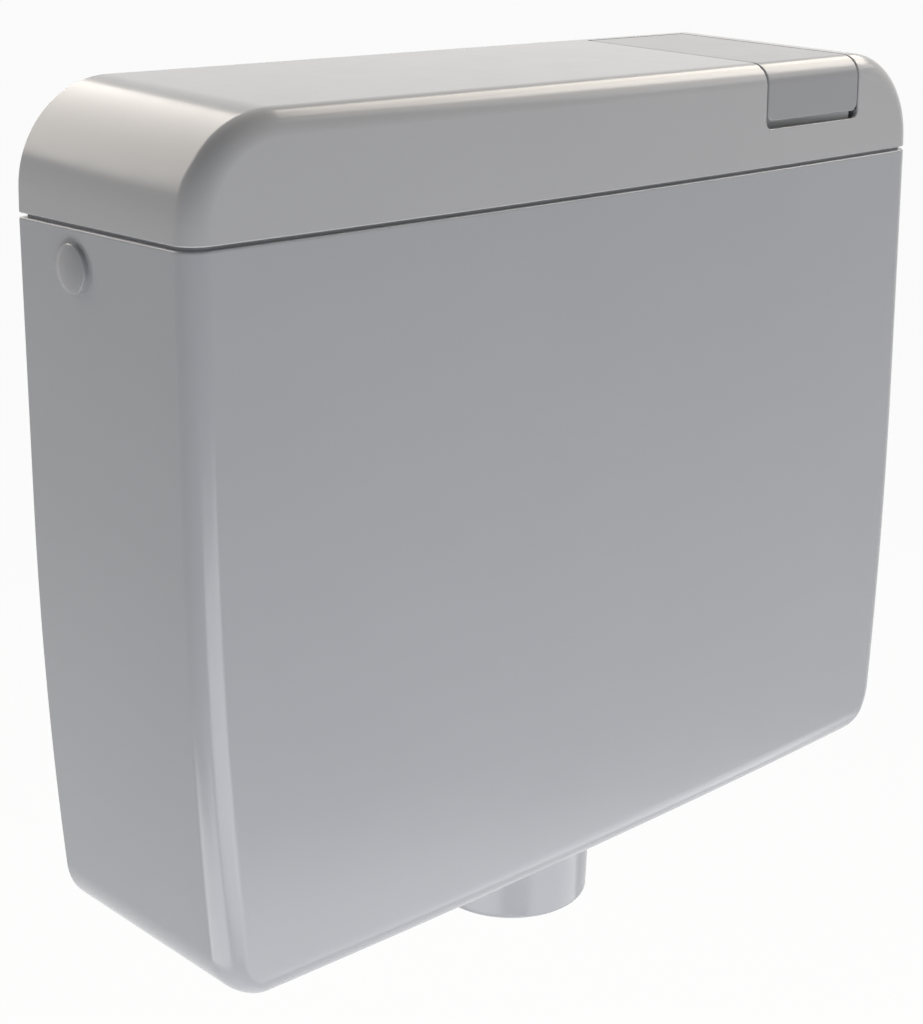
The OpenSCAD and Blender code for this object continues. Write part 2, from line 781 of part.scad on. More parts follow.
module fill_body() {
    axis = [0, -inlet_back, inlet_z];
    flange_x = wall_x - inlet_washer_t - barrel_flange_t;
    r = barrel_d / 2;
    color("white") difference() {
        union() {
            inlet_rod(barrel_end, flange_x - barrel_end + 1, r);
            inlet_rod(flange_x, barrel_flange_t, r + 2.5);
            inlet_rod(flange_x, half_w + back_nut_t + 1 - flange_x, inlet_d / 2);
            inlet_rod(flange_x, half_w + back_nut_t + 3 - flange_x, inlet_d / 2 - 1);
            inlet_rod(half_w + back_nut_t + 3, inlet_len - back_nut_t - 3, inlet_d / 2);
            translate(axis + [outlet_x, 0, -r - spigot_l]) cylinder(r = spigot_r, h = spigot_l + r);
            for (y = [-lug_in - lug_t, lug_in])
                translate(axis + [arm_x - lug_w / 2, y, -arm_down - 4]) cube([lug_w, lug_t, arm_down]);
        }
        inlet_rod(barrel_end - 1, nozzle_tip + nozzle_l - barrel_end + 1, piston_d / 2);
        inlet_rod(nozzle_tip, half_w + inlet_len, inlet_d / 2 - 2.4);
        translate(axis + [outlet_x, 0, -r - spigot_l - 1]) cylinder(r = spigot_r - 2, h = spigot_l + r);
        translate(axis + [arm_x - arm_slot / 2, -lug_in, -r - 4]) cube([arm_slot, 2 * lug_in, r + 2]);
        arm_rod(lug_in + lug_t + 1, arm_pin_d / 2 + fit);
    }
}

// Rod along Y on the float arm's pivot, to both sides of the barrel's middle
module arm_rod(half, r) {
    translate([arm_x, -inlet_back + half, arm_z]) rotate([90, 0, 0]) cylinder(r = r, h = 2 * half);
}

module fill_inlet_washer() {
    x = wall_x - inlet_washer_t;
    color("dimgray") inlet_ring(x, inlet_washer_t, barrel_d / 2 + 2, inlet_d / 2 + run);
}

// Hexagon nut on a side inlet, from x outwards
module inlet_nut(x, l, bore) {
    translate([x, -inlet_back, inlet_z]) rotate([0, 90, 0]) difference() {
        cylinder(d = nut_af / cos(30), h = l, $fn = 6);
        translate([0, 0, -1]) cylinder(r = bore, h = l + 2);
    }
}

module fill_back_nut() {
    color("white") inlet_nut(half_w, back_nut_t, inlet_d / 2 + fit);
}

module fill_cap() {
    color("white") {
        inlet_rod(barrel_end - 2, 2, cap_r);
        inlet_ring(barrel_end, cap_l - 2, cap_r, barrel_d / 2 + fit);
    }
}

module fill_nozzle() {
    color("ivory") difference() {
        union() {
            inlet_rod(nozzle_tip, 3, 4);
            inlet_rod(nozzle_tip + 2, nozzle_l - 2, piston_d / 2 - fit);
        }
        inlet_rod(nozzle_tip - 1, nozzle_l + 2, 2.2);
    }
}

module fill_piston() {
    color("khaki") difference() {
        inlet_rod(piston_x, piston_l, piston_r);
        translate([notch_x - cam_tip - run, -inlet_back - arm_w / 2 - 0.4, inlet_z - piston_d])
            cube([2 * (cam_tip + run), arm_w + 0.8, piston_d + 1]);
    }
}

module piston_washer() {
    color("dimgray") inlet_rod(piston_x + piston_l, piston_washer_t, 5.5);
}

// Turns what is drawn at the full water level about the arm's pin, down to where it hangs in an empty tank
module hang() {
    translate([arm_x, -inlet_back, arm_z]) rotate([0, -arm_swing, 0]) children();
}

module float_arm() {
    cam_a = -arm_swing / 2;
    half = arm_w / 2;
    color("khaki") hang() difference() {
        union() {
            translate([0, half, 0]) rotate([90, 0, 0]) cylinder(r = arm_pin_d / 2 + 3, h = arm_w);
            translate([-arm_l, -half, -arm_t / 2]) cube([arm_l, arm_w, arm_t]);
            translate([-arm_l, 0, -eye_h / 2]) cylinder(r = eye_r, h = eye_h);
            rotate([0, arm_swing + cam_a, 0]) {
                translate([-1.6, -half, 0]) cube([3.2, arm_w, cam_r]);
                translate([0, half, cam_r]) rotate([90, 0, 0]) cylinder(r = cam_tip, h = arm_w);
            }
        }
        translate([0, half + 1, 0]) rotate([90, 0, 0]) cylinder(r = arm_pin_d / 2 + run, h = arm_w + 2);
        translate([-arm_l, 0, -eye_h / 2 - 1]) cylinder(r = float_rod_r + fit, h = eye_h + 2);
    }
}

module float_arm_pin() {
    color("silver") arm_rod(lug_in + lug_t + 0.6, arm_pin_d / 2);
}

module float_rod() {
    color("silver") hang() translate([-arm_l, 0, -float_drop]) {
        translate([0, 0, -float_boss_l])
            cylinder(r = float_rod_r, h = float_boss_l + float_drop + eye_h / 2 + float_nut_t + 5);
        for (z = [eye_h / 2, -eye_h / 2 - float_nut_t])
            translate([0, 0, float_drop + z]) cylinder(r = 2 * float_rod_r, h = float_nut_t);
    }
}

// Half outline of a drum with round edges, from its top down
module drum_half(r, h, soft) {
    translate([0, -h]) square([r - soft, h]);
    translate([0, soft - h]) square([r, h - 2 * soft]);
    translate([r - soft, -soft]) circle(soft);
    translate([r - soft, soft - h]) circle(soft);
}

// Air-filled cup, open below
module float() {
    r = float_d / 2;
    boss_r = float_rod_r + 3;
    boss_l = float_boss_l;
    color("snow") hang() translate([-arm_l, 0, -float_drop]) rotate_extrude() difference() {
        union() {
            difference() {
                intersection() {
                    drum_half(r, 2 * float_h, 8);
                    translate([0, -float_h]) square([r, float_h]);
                }
                translate([0, -float_wall]) drum_half(r - float_wall, 2 * float_h, 8 - float_wall);
            }
            translate([0, -boss_l - 1]) square([boss_r, boss_l + 1 - eps]);
        }
        translate([0, -boss_l]) square([float_rod_r + fit, boss_l + 1]);
    }
}

module drop_tube() {
    z = inlet_z - barrel_d / 2 - 1 - drop_l;
    color("whitesmoke") translate([outlet_x, -inlet_back, z]) difference() {
        cylinder(r = spigot_r + fit + drop_wall, h = drop_l);
        translate([0, 0, -1]) cylinder(r = spigot_r + fit, h = drop_l + 2);
    }
}

module blanking_plug() {
    r = plug_d / 2;
    dome = 1.4;
    dome_r = (r * r + dome * dome) / (2 * dome);
    color("whitesmoke") translate([-half_w, -inlet_back, inlet_z]) rotate([0, -90, 0]) {
        cylinder(r = r, h = plug_t - dome);
        intersection() {
            translate([0, 0, plug_t - dome_r]) sphere(r = dome_r);
            cylinder(r = r, h = plug_t + 1);
        }
        translate([0, 0, -tank_wall - 12]) cylinder(d = inlet_d, h = tank_wall + 12 + eps);
    }
}

module blanking_washer() {
    color("dimgray") inlet_ring(-wall_x, 2, barrel_d / 2 + 1, inlet_d / 2 + run);
}

module blanking_nut() {
    color("white") inlet_nut(2 - wall_x, back_nut_t, inlet_d / 2 + fit);
}

tank();
lid();
flush_plate();
plate_hinge_pin();
rocker_bridge();
bridge_screw_rear();
bridge_screw_front();
rocker();
rocker_pin();
valve_seat();
seat_washer();
outlet_nut();
pipe_seal();
valve_cage();
valve_riser();
valve_seal();
seal_clamp();
lift_rod();
lift_head();
fill_body();
fill_inlet_washer();
fill_back_nut();
fill_cap();
fill_nozzle();
fill_piston();
piston_washer();
float_arm();
float_arm_pin();
float_rod();
float();
drop_tube();
blanking_plug();
blanking_washer();
blanking_nut();
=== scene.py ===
"""Dresses the wall-hung cistern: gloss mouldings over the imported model, fittings and a plain studio."""

import json
import math

import bmesh
import bpy
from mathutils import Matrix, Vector


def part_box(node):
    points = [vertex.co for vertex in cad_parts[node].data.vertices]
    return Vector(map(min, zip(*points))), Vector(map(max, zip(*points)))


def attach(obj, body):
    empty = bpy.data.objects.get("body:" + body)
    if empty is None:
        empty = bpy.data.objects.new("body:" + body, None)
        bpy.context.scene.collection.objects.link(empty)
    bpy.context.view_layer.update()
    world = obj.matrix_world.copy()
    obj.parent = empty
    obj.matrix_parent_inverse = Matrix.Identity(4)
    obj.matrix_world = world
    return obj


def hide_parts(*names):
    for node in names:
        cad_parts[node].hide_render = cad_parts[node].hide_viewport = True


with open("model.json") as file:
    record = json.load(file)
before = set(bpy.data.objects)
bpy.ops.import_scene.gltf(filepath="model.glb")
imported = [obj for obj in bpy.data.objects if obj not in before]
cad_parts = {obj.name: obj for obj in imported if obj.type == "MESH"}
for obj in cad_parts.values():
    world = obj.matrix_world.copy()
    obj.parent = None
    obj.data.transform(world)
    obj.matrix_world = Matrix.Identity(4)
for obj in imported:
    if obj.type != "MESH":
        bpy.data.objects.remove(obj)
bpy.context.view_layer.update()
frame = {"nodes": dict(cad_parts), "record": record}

bl_info = {
    "name": "Wall-hung cistern",
    "version": (1, 0, 0),
    "blender": (4, 5, 0),
    "location": "View3D > Sidebar > Cistern",
    "description": "Gloss tank, lid and flush plate, moulded fittings and a plain studio",
    "category": "Add Mesh",
}

TANK_LOW, TANK_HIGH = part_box("tank")
LID_LOW, LID_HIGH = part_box("lid")
PLATE_LOW, PLATE_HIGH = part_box("flush_plate")
COLLAR_LOW, COLLAR_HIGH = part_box("outlet_nut")
PLUG_LOW, PLUG_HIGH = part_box("blanking_plug")
TAIL_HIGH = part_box("fill_body")[1]
INLET_Y = (PLUG_LOW.y + PLUG_HIGH.y) / 2
INLET_Z = (PLUG_LOW.z + PLUG_HIGH.z) / 2

# Steps of the skins: columns over the front, then steps round each edge and up the sides
COLUMNS = 18
EDGE_STEPS = 14
FOOT_STEPS = 18
SIDE_STEPS = 10
CROWN_STEPS = 28
BROW_STEPS = 18

# Sizes in metres that several pieces share
SEAM_GAP = 0.0015
PLATE_RISE = 0.022
PLATE_LOW_EDGE = LID_LOW.z - SEAM_GAP / 2 + PLATE_RISE
MOULD_R = 0.0003
THREAD_R = 0.00833
THREAD_PITCH = 0.00134
OUTLET_R = 0.0301
PIPE_R = 0.0265

# Reach of a cutter past what it cuts, radius of a lathed pole, and how near a point counts as being there
CUT_REACH = 0.02
AXIS = 0.0001
POLE = 0.00015
NEAR = 1e-4
MERGE = 1e-6

# Width of the floor in metres, and of the camera's sensor in millimetres
FLOOR_WIDTH = 60
SENSOR = 36


class CisternForm(bpy.types.PropertyGroup):
    """Sizes of the tank, the lid and the flush plate"""

    width: bpy.props.FloatProperty(
        name="Width", description="Width over the tank and the lid at the seam", unit="LENGTH",
        default=0.44)
    depth: bpy.props.FloatProperty(
        name="Depth", description="Depth from the wall to the middle of the front", unit="LENGTH",
        default=0.12)
    bow: bpy.props.FloatProperty(
        name="Bow", description="Bulge of the front at the middle", default=0.0045, unit="LENGTH")
    seam_gap: bpy.props.FloatProperty(
        name="Seam gap", description="Open seam between the tank and the lid", unit="LENGTH",
        default=SEAM_GAP)
    edge_radius: bpy.props.FloatProperty(
        name="Edge radius", description="Round of the upright front edges at the seam", unit="LENGTH",
        default=0.01)
    toe_radius: bpy.props.FloatProperty(
        name="Toe radius", description="Round of the tank's bottom front edge", unit="LENGTH",
        default=0.012)
    foot_radius: bpy.props.FloatProperty(
        name="Foot radius", description="Round of the tank's bottom corners", unit="LENGTH",
        default=0.026)
    crown_radius: bpy.props.FloatProperty(
        name="Crown radius", description="Round of the lid's top corners", default=0.042, unit="LENGTH")
    side_radius: bpy.props.FloatProperty(
        name="Side radius", description="Barrel curve down each side of the tank", unit="LENGTH",
        default=1.85)
    side_start: bpy.props.FloatProperty(
        name="Side start", description="Straight stretch below the seam", default=0.12, unit="LENGTH")
    lid_fall: bpy.props.FloatProperty(
        name="Lid fall", description="Fall of the lid's top towards the front", unit="LENGTH",
        default=0.005)
    lid_draft: bpy.props.FloatProperty(
        name="Lid draft", description="Sideways draft of the lid for its height", default=0.03)
    lid_wall: bpy.props.FloatProperty(
        name="Lid wall", description="Wall of the lid and the flush plate", default=0.002, unit="LENGTH")
    plate_gap: bpy.props.FloatProperty(
        name="Plate gap", description="Gap round the flush plate", default=0.0008, unit="LENGTH")
    plate_stroke: bpy.props.FloatProperty(
        name="Plate stroke", description="Open band under the flush plate", unit="LENGTH",
        default=0.0036)
    plate_corner: bpy.props.FloatProperty(
        name="Plate corner", description="Round of the plate's lower corners", unit="LENGTH",
        default=0.004)
    rim_in: bpy.props.FloatProperty(
        name="Rim inset", description="Step from the tank's face to its rim", unit="LENGTH",
        default=0.0024)
    tank_wall: bpy.props.FloatProperty(
        name="Tank wall", description="Wall of the tank", default=0.0042, unit="LENGTH")


class CisternFinish(bpy.types.PropertyGroup):
    """Colours of the cistern's materials"""

    tank: bpy.props.FloatVectorProperty(
        name="Tank", description="Gloss plastic of the tank and the collar", subtype="COLOR",
        default=(0.36, 0.365, 0.385))
    lid: bpy.props.FloatVectorProperty(
        name="Lid", description="Gloss plastic of the lid", subtype="COLOR",
        default=(0.405, 0.405, 0.413))
    plate: bpy.props.FloatVectorProperty(
        name="Plate", description="Gloss plastic of the flush plate and the plug", subtype="COLOR",
        default=(0.3, 0.303, 0.315))
    white: bpy.props.FloatVectorProperty(
        name="White fittings", description="Moulded white fittings", subtype="COLOR",
        default=(0.7, 0.7, 0.67))
    grey: bpy.props.FloatVectorProperty(
        name="Grey fittings", description="Moulded grey fittings", subtype="COLOR",
        default=(0.15, 0.16, 0.185))
    float_white: bpy.props.FloatVectorProperty(
        name="Float", description="Plastic of the float", subtype="COLOR", default=(0.76, 0.76, 0.72))
    rubber: bpy.props.FloatVectorProperty(
        name="Rubber", description="Seals and washers", subtype="COLOR", default=(0.012, 0.012, 0.013))
    steel: bpy.props.FloatVectorProperty(
        name="Steel", description="Pins, screws and the lift rod", subtype="COLOR",
        default=(0.5, 0.5, 0.51))
    brass: bpy.props.FloatVectorProperty(
        name="Brass", description="Fill valve and float arm", subtype="COLOR",
        default=(0.56, 0.37, 0.11))


class CisternStudio(bpy.types.PropertyGroup):
    """Camera and floor"""

    camera_at: bpy.props.FloatVectorProperty(
        name="Camera", description="Place of the camera", subtype="TRANSLATION", unit="LENGTH",
        default=(-0.62556, -0.69702, 0.14837))
    yaw: bpy.props.FloatProperty(
        name="Yaw", description="Turn of the view from the wall's normal", subtype="ANGLE",
        default=math.radians(42.789))
    pitch: bpy.props.FloatProperty(
        name="Pitch", description="Downward tilt of the view", subtype="ANGLE",
        default=math.radians(13.24))
    lens: bpy.props.FloatProperty(name="Lens", description="Focal length on a 36 mm sensor", default=70.31)
    shift: bpy.props.FloatProperty(name="Shift", description="Upright shift of the lens", default=-0.15)
    floor_z: bpy.props.FloatProperty(
        name="Floor", description="Height of the floor under the hung cistern", unit="LENGTH",
        default=-0.8)


def start_fresh():
    """Leaves edit mode with nothing selected."""
    if bpy.context.object and bpy.context.object.mode != "OBJECT":
        bpy.ops.object.mode_set(mode="OBJECT")
    bpy.ops.object.select_all(action="DESELECT")


def take(obj):
    """Makes one object the only selected and active one."""
    start_fresh()
    obj.select_set(True)
    bpy.context.view_layer.objects.active = obj


def open_mesh(obj):
    """Goes into edit mode on one object, with all of it selected."""
    take(obj)
    bpy.ops.object.mode_set(mode="EDIT")
    bpy.ops.mesh.select_all(action="SELECT")


def close_mesh():
    """Goes back to object mode."""
    bpy.ops.object.mode_set(mode="OBJECT")


def pick(obj, mode, test):
    """Selects the open mesh's vertices, edges or faces that pass a test."""
    bpy.ops.mesh.select_mode(type=mode)
    bpy.ops.mesh.select_all(action="DESELECT")
    mesh = bmesh.from_edit_mesh(obj.data)
    mesh.normal_update()
    found = 0
    for part in {"VERT": mesh.verts, "EDGE": mesh.edges, "FACE": mesh.faces}[mode]:
        if test(part):
            part.select_set(True)
            found += 1
    mesh.select_flush_mode()
    bmesh.update_edit_mesh(obj.data, loop_triangles=False, destructive=False)
    if not found:
        raise RuntimeError(f"nothing to shape on {obj.name}")


def block(name, low, high):
    """A box between two corners, with its place in its mesh."""
    start_fresh()
    middle = [(a + b) / 2 for a, b in zip(low, high)]
    bpy.ops.mesh.primitive_cube_add(size=1, location=middle)
    obj = bpy.context.object
    obj.name = obj.data.name = name
    obj.scale = [b - a for a, b in zip(low, high)]
    bpy.ops.object.transform_apply(location=True, rotation=True, scale=True)
    return obj


def cut(at, normal, keep=0, fill=False):
    """Bisects the open mesh. keep 1 leaves the side the normal points to, -1 the other one."""
    bpy.ops.mesh.select_all(action="SELECT")
    bpy.ops.mesh.bisect(plane_co=at, plane_no=normal, use_fill=fill, threshold=MERGE,
                        clear_inner=keep > 0, clear_outer=keep < 0)


def apply_modifier(obj, kind, **settings):
    """Adds a modifier with its settings and applies it."""
    take(obj)
    changer = obj.modifiers.new(kind.title(), kind)
    for name, value in settings.items():
        setattr(changer, name, value)
    bpy.ops.object.modifier_apply(modifier=changer.name)


def carve(obj, cutter, operation="DIFFERENCE"):
    """Cuts one object with another, or joins them into one skin, and removes the cutter."""
    apply_modifier(obj, "BOOLEAN", operation=operation, solver="EXACT", object=cutter)
    bpy.data.objects.remove(cutter)


def join(obj, *others):
    """Joins other objects into one."""
    start_fresh()
    for other in others:
        other.select_set(True)
    obj.select_set(True)
    bpy.context.view_layer.objects.active = obj
    bpy.ops.object.join()


def smooth(obj, angle=32):
    """Smooth shading that keeps creases, with the large faces' normals kept flat."""
    take(obj)
    bpy.ops.object.shade_smooth_by_angle(angle=math.radians(angle))
    apply_modifier(obj, "WEIGHTED_NORMAL", keep_sharp=True, weight=60)


def finish(obj, body, slot, material, *nodes):
    """Gives a piece its finish, its body and the model parts that it stands for."""
    obj.data.materials.clear()
    obj.data.materials.append(material)
    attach(obj, body)
    if nodes:
        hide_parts(*nodes)


def turned(name, at, axis, profile, turns=96):
    """A ring lathed from (radius, distance along the axis) points, extruded and resized ring by ring."""
    start_fresh()
    radius, start = profile[0]
    bpy.ops.mesh.primitive_circle_add(vertices=turns, radius=radius, location=(0, 0, start))
    obj = bpy.context.object
    obj.name = obj.data.name = name
    bpy.ops.object.transform_apply(location=True, rotation=True, scale=True)
    open_mesh(obj)
    for wide, up in profile[1:]:
        bpy.ops.mesh.extrude_edges_move(TRANSFORM_OT_translate={"value": (0, 0, up - start)})
        k = wide / radius
        bpy.ops.transform.resize(value=(k, k, 1), center_override=(0, 0, up))
        radius, start = wide, up
    close_mesh()
    obj.rotation_euler = Vector((0, 0, 1)).rotation_difference(Vector(axis)).to_euler()
    obj.location = at
    bpy.ops.object.transform_apply(location=True, rotation=True, scale=True)
    open_mesh(obj)
    bpy.ops.mesh.remove_doubles(threshold=MERGE)
    line, foot = Vector(axis).normalized(), Vector(at)
    if min(profile[0][0], profile[-1][0]) < POLE:
        pick(obj, "VERT", lambda v: (v.co - foot).cross(line).length < POLE)
        bpy.ops.mesh.remove_doubles(threshold=3 * POLE)
        bpy.ops.mesh.select_all(action="SELECT")
    bpy.ops.mesh.normals_make_consistent(inside=False)
    close_mesh()
    return obj


def drill(name, at, axis, radius, long, turns):
    """A plain round cutter."""
    middle = AXIS / 10
    return turned(name, at, axis, [(middle, 0), (radius, 0), (radius, long), (middle, long)], turns)


def ringed(name, rings):
    """A closed skin over a stack of rings: a circle, extruded and laid on each level's outline."""
    start_fresh()
    bpy.ops.mesh.primitive_circle_add(vertices=len(rings[0]), radius=1)
    obj = bpy.context.object
    obj.name = obj.data.name = name
    open_mesh(obj)
    before = None
    for ring in rings:
        if before:
            bpy.ops.mesh.extrude_edges_move()
        mesh = bmesh.from_edit_mesh(obj.data)
        for place, point in enumerate([v for v in mesh.verts if v.select]):
            if before:
                place = min(range(len(before)), key=lambda k: (before[k] - point.co).length_squared)
            point.co = ring[place]
        bmesh.update_edit_mesh(obj.data)
        before = [Vector(p) for p in ring]
    bpy.ops.mesh.edge_face_add()
    pick(obj, "EDGE", lambda e: len(e.link_faces) == 1)
    bpy.ops.mesh.edge_face_add()
    bpy.ops.mesh.select_all(action="SELECT")
    bpy.ops.mesh.normals_make_consistent(inside=False)
    close_mesh()
    return obj


def tank_ring(size, wide, inward, back, up):
    """One level of the tank: flat at the wall, round front edges, bowed front, drawn in at the toe."""
    seam = LID_LOW.z - size.seam_gap / 2
    tall = seam - TANK_LOW.z
    low = size.toe_radius - tall - (up - seam)
    front = size.depth - inward
    if low > 0:
        front = size.depth - size.toe_radius + math.sqrt(max((size.toe_radius - inward) ** 2 - low ** 2, 0))
    share = ((up - seam) / tall) ** 2
    drawn_in = size.depth - inward - front
    least = 0.002
    r = max(size.edge_radius + (size.toe_radius - size.edge_radius) * share - inward - drawn_in, least)
    right = [(wide, -back)]
    for i in range(EDGE_STEPS + 1):
        a = math.pi / 2 * i / EDGE_STEPS
        right.append((wide - r + r * math.cos(a), r - front - r * math.sin(a)))
    points = right + [((wide - r) * (1 - 2 * i / COLUMNS), -front) for i in range(1, COLUMNS)]
    points += [(-x, y) for x, y in reversed(right)]
    bow = 4 * size.bow / size.width ** 2
    return [(x, y + bow * x * x if y < -back else y, up) for x, y in points]


def tank_rings(size, inward, back):
    """Levels of the tank from its bottom, round the foot and up the barrel curve of its sides."""
    half = size.width / 2
    seam = LID_LOW.z - size.seam_gap / 2
    foot_z = size.foot_radius - (seam - TANK_LOW.z)
    span = size.side_radius - size.foot_radius
    foot_x = half - size.side_radius + math.sqrt(span ** 2 - (foot_z + size.side_start) ** 2)
    lean = math.asin((-size.side_start - foot_z) / span)
    levels = []
    for i in range(FOOT_STEPS + 1):
        a = math.pi / 2 + (lean - math.pi / 2) * i / FOOT_STEPS
        r = size.foot_radius - inward
        levels.append((foot_x + r * math.cos(a), foot_z - r * math.sin(a)))
    for i in range(1, SIDE_STEPS + 1):
        a = lean * (1 - i / SIDE_STEPS)
        r = size.side_radius - inward
        levels.append((half - size.side_radius + r * math.cos(a), -size.side_start - r * math.sin(a)))
    return [tank_ring(size, wide, inward, back, seam + z) for wide, z in levels]


def front_at(size, x):
    """Place of the lid's bowed front across its width."""
    return size.bow * (2 * x / size.width) ** 2 - size.depth


def bow_front(obj, size):
    """Cuts upright columns and moves each one's front by the bow."""
    half = size.width / 2
    clear_of_crown = 1.15 * size.crown_radius
    reach = half - clear_of_crown
    columns = [reach * (2 * i / COLUMNS - 1) for i in range(COLUMNS + 1)]
    for x in columns:
        cut((x, 0, 0), (1, 0, 0))
    for x in columns + [-half, half]:
        pick(obj, "VERT", lambda v: abs(v.co.x - x) < 1e-5 and v.co.y < NEAR - size.depth)
        bpy.ops.transform.translate(value=(0, size.bow * (x / half) ** 2, 0))


def on_front_outline(edge):
    """True for an edge between the front face and a side, the top or the bottom curve."""
    if len(edge.link_faces) != 2:
        return False
    one, two = sorted((f.normal.y for f in edge.link_faces))
    return one < -0.9 and abs(two) < 0.3


def lid_block(name):
    """The lid as a closed block: draft, falling top, round crown corners, then the round front edge."""
    size = bpy.context.scene.cistern_form
    half = size.width / 2
    obj = block(name, (-half, -size.depth, LID_LOW.z), (half, 0, LID_HIGH.z))
    open_mesh(obj)
    bow_front(obj, size)
    pick(obj, "VERT", lambda v: v.co.z > LID_HIGH.z - NEAR)
    slim = 1 - size.lid_draft * (LID_HIGH.z - LID_LOW.z) / half
    bpy.ops.transform.resize(value=(slim, 1, 1), center_override=(0, 0, LID_HIGH.z))
    pick(obj, "VERT", lambda v: v.co.z > LID_HIGH.z - NEAR and v.co.y < -size.depth / 2)
    bpy.ops.transform.translate(value=(0, 0, -size.lid_fall))
    pick(obj, "EDGE", lambda e: all(abs(v.co.x) > 0.95 * half and v.co.z > LID_HIGH.z - 2 * size.lid_fall
                                    for v in e.verts))
    bpy.ops.mesh.bevel(offset=size.crown_radius, segments=CROWN_STEPS, profile=0.5, clamp_overlap=False)
    pick(obj, "EDGE", lambda e: on_front_outline(e) and all(f.normal.z > -0.5 for f in e.link_faces))
    bpy.ops.mesh.bevel(offset=size.edge_radius, segments=BROW_STEPS, profile=0.5, clamp_overlap=False)
    close_mesh()
    return obj


def window_block(name, grow, low):
    """The flush plate's box, with round lower corners, from its lower edge up and through the front."""
    size = bpy.context.scene.cistern_form
    obj = block(name, (PLATE_LOW.x - grow, -size.depth - CUT_REACH, low),
                (PLATE_HIGH.x + grow, PLATE_HIGH.y + grow, LID_HIGH.z + CUT_REACH))
    open_mesh(obj)
    pick(obj, "EDGE", lambda e: all(v.co.z < low + NEAR for v in e.verts) and
         abs(e.verts[0].co.y - e.verts[1].co.y) > 0.05)
    bpy.ops.mesh.bevel(offset=size.plate_corner, segments=8, profile=0.5, clamp_overlap=False)
    close_mesh()
    return obj


def softened_box(name, low, high, radius=MOULD_R):
    """A small moulded block with rounded edges."""
    obj = block(name, low, high)
    open_mesh(obj)
    bpy.ops.mesh.bevel(offset=radius, segments=3, profile=0.5)
    close_mesh()
    return obj


def moulded_copy(node, name, radius, crease=30):
    """A copy of a model part with merged faces and small moulded rounds on its edges."""
    start_fresh()
    mesh = frame["nodes"][node].data.copy()
    obj = bpy.data.objects.new(name, mesh)
    bpy.context.scene.collection.objects.link(obj)
    mesh.name = name
    open_mesh(obj)
    bpy.ops.mesh.remove_doubles(threshold=2e-6)
    bpy.ops.mesh.dissolve_limited(angle_limit=math.radians(0.6))
    close_mesh()
    if radius:
        apply_modifier(obj, "BEVEL", width=radius, segments=2, limit_method="ANGLE",
                       angle_limit=math.radians(crease), use_clamp_overlap=True)
    smooth(obj, crease)
    return obj


def socketed_group(name, inputs, outputs):
    """A shader node group with named inputs and outputs."""
    group = bpy.data.node_groups.new(name, "ShaderNodeTree")
    for label, value in inputs:
        socket = group.interface.new_socket(name=label, in_out="INPUT", socket_type="NodeSocketFloat")
        socket.default_value = value
    for label in outputs:
        group.interface.new_socket(name=label, in_out="OUTPUT", socket_type="NodeSocketFloat")
    return group, group.nodes.new("NodeGroupInput"), group.nodes.new("NodeGroupOutput")


def noise(group, coords, scale, detail):
    """A noise mask whose scale comes from a socket."""
    node = group.nodes.new("ShaderNodeTexNoise")
    node.inputs["Detail"].default_value = detail
    group.links.new(coords, node.inputs["Vector"])
    group.links.new(scale, node.inputs["Scale"])
    return node.outputs["Fac"]


def moulding_group():
    """Slow colour drift, polish smudges and fine skin of a moulded surface."""
    group, given, made = socketed_group(
        "Moulding skin", [("Drift scale", 9.0), ("Smudge scale", 60.0), ("Skin scale", 1400.0)],
        ["Drift", "Smudge", "Skin"])
    coords = group.nodes.new("ShaderNodeTexCoord").outputs["Object"]
    for label, detail in (("Drift", 3), ("Smudge", 5), ("Skin", 2)):
        group.links.new(noise(group, coords, given.outputs[label + " scale"], detail), made.inputs[label])
    return group


def drawn_group():
    """Fine lines and cloudy tarnish of drawn and turned metal."""
    group, given, made = socketed_group(
        "Drawn metal", [("Line scale", 900.0), ("Cloud scale", 45.0)], ["Lines", "Clouds"])
    coords = group.nodes.new("ShaderNodeTexCoord").outputs["Object"]
    stretch = group.nodes.new("ShaderNodeMapping")
    stretch.inputs["Scale"].default_value = (1.0, 0.06, 0.06)
    group.links.new(coords, stretch.inputs["Vector"])
    for label, place, scale, detail in (("Lines", stretch.outputs["Vector"], "Line scale", 3),
                                        ("Clouds", coords, "Cloud scale", 4)):
        group.links.new(noise(group, place, given.outputs[scale], detail), made.inputs[label])
    return group


def ranged(tree, value, low, high):
    """Spreads a mask that lies between 0.3 and 0.7 over a range."""
    node = tree.nodes.new("ShaderNodeMapRange")
    node.inputs["From Min"].default_value = 0.3
    node.inputs["From Max"].default_value = 0.7
    node.inputs["To Min"].default_value = low
    node.inputs["To Max"].default_value = high
    tree.links.new(value, node.inputs["Value"])
    return node.outputs["Result"]


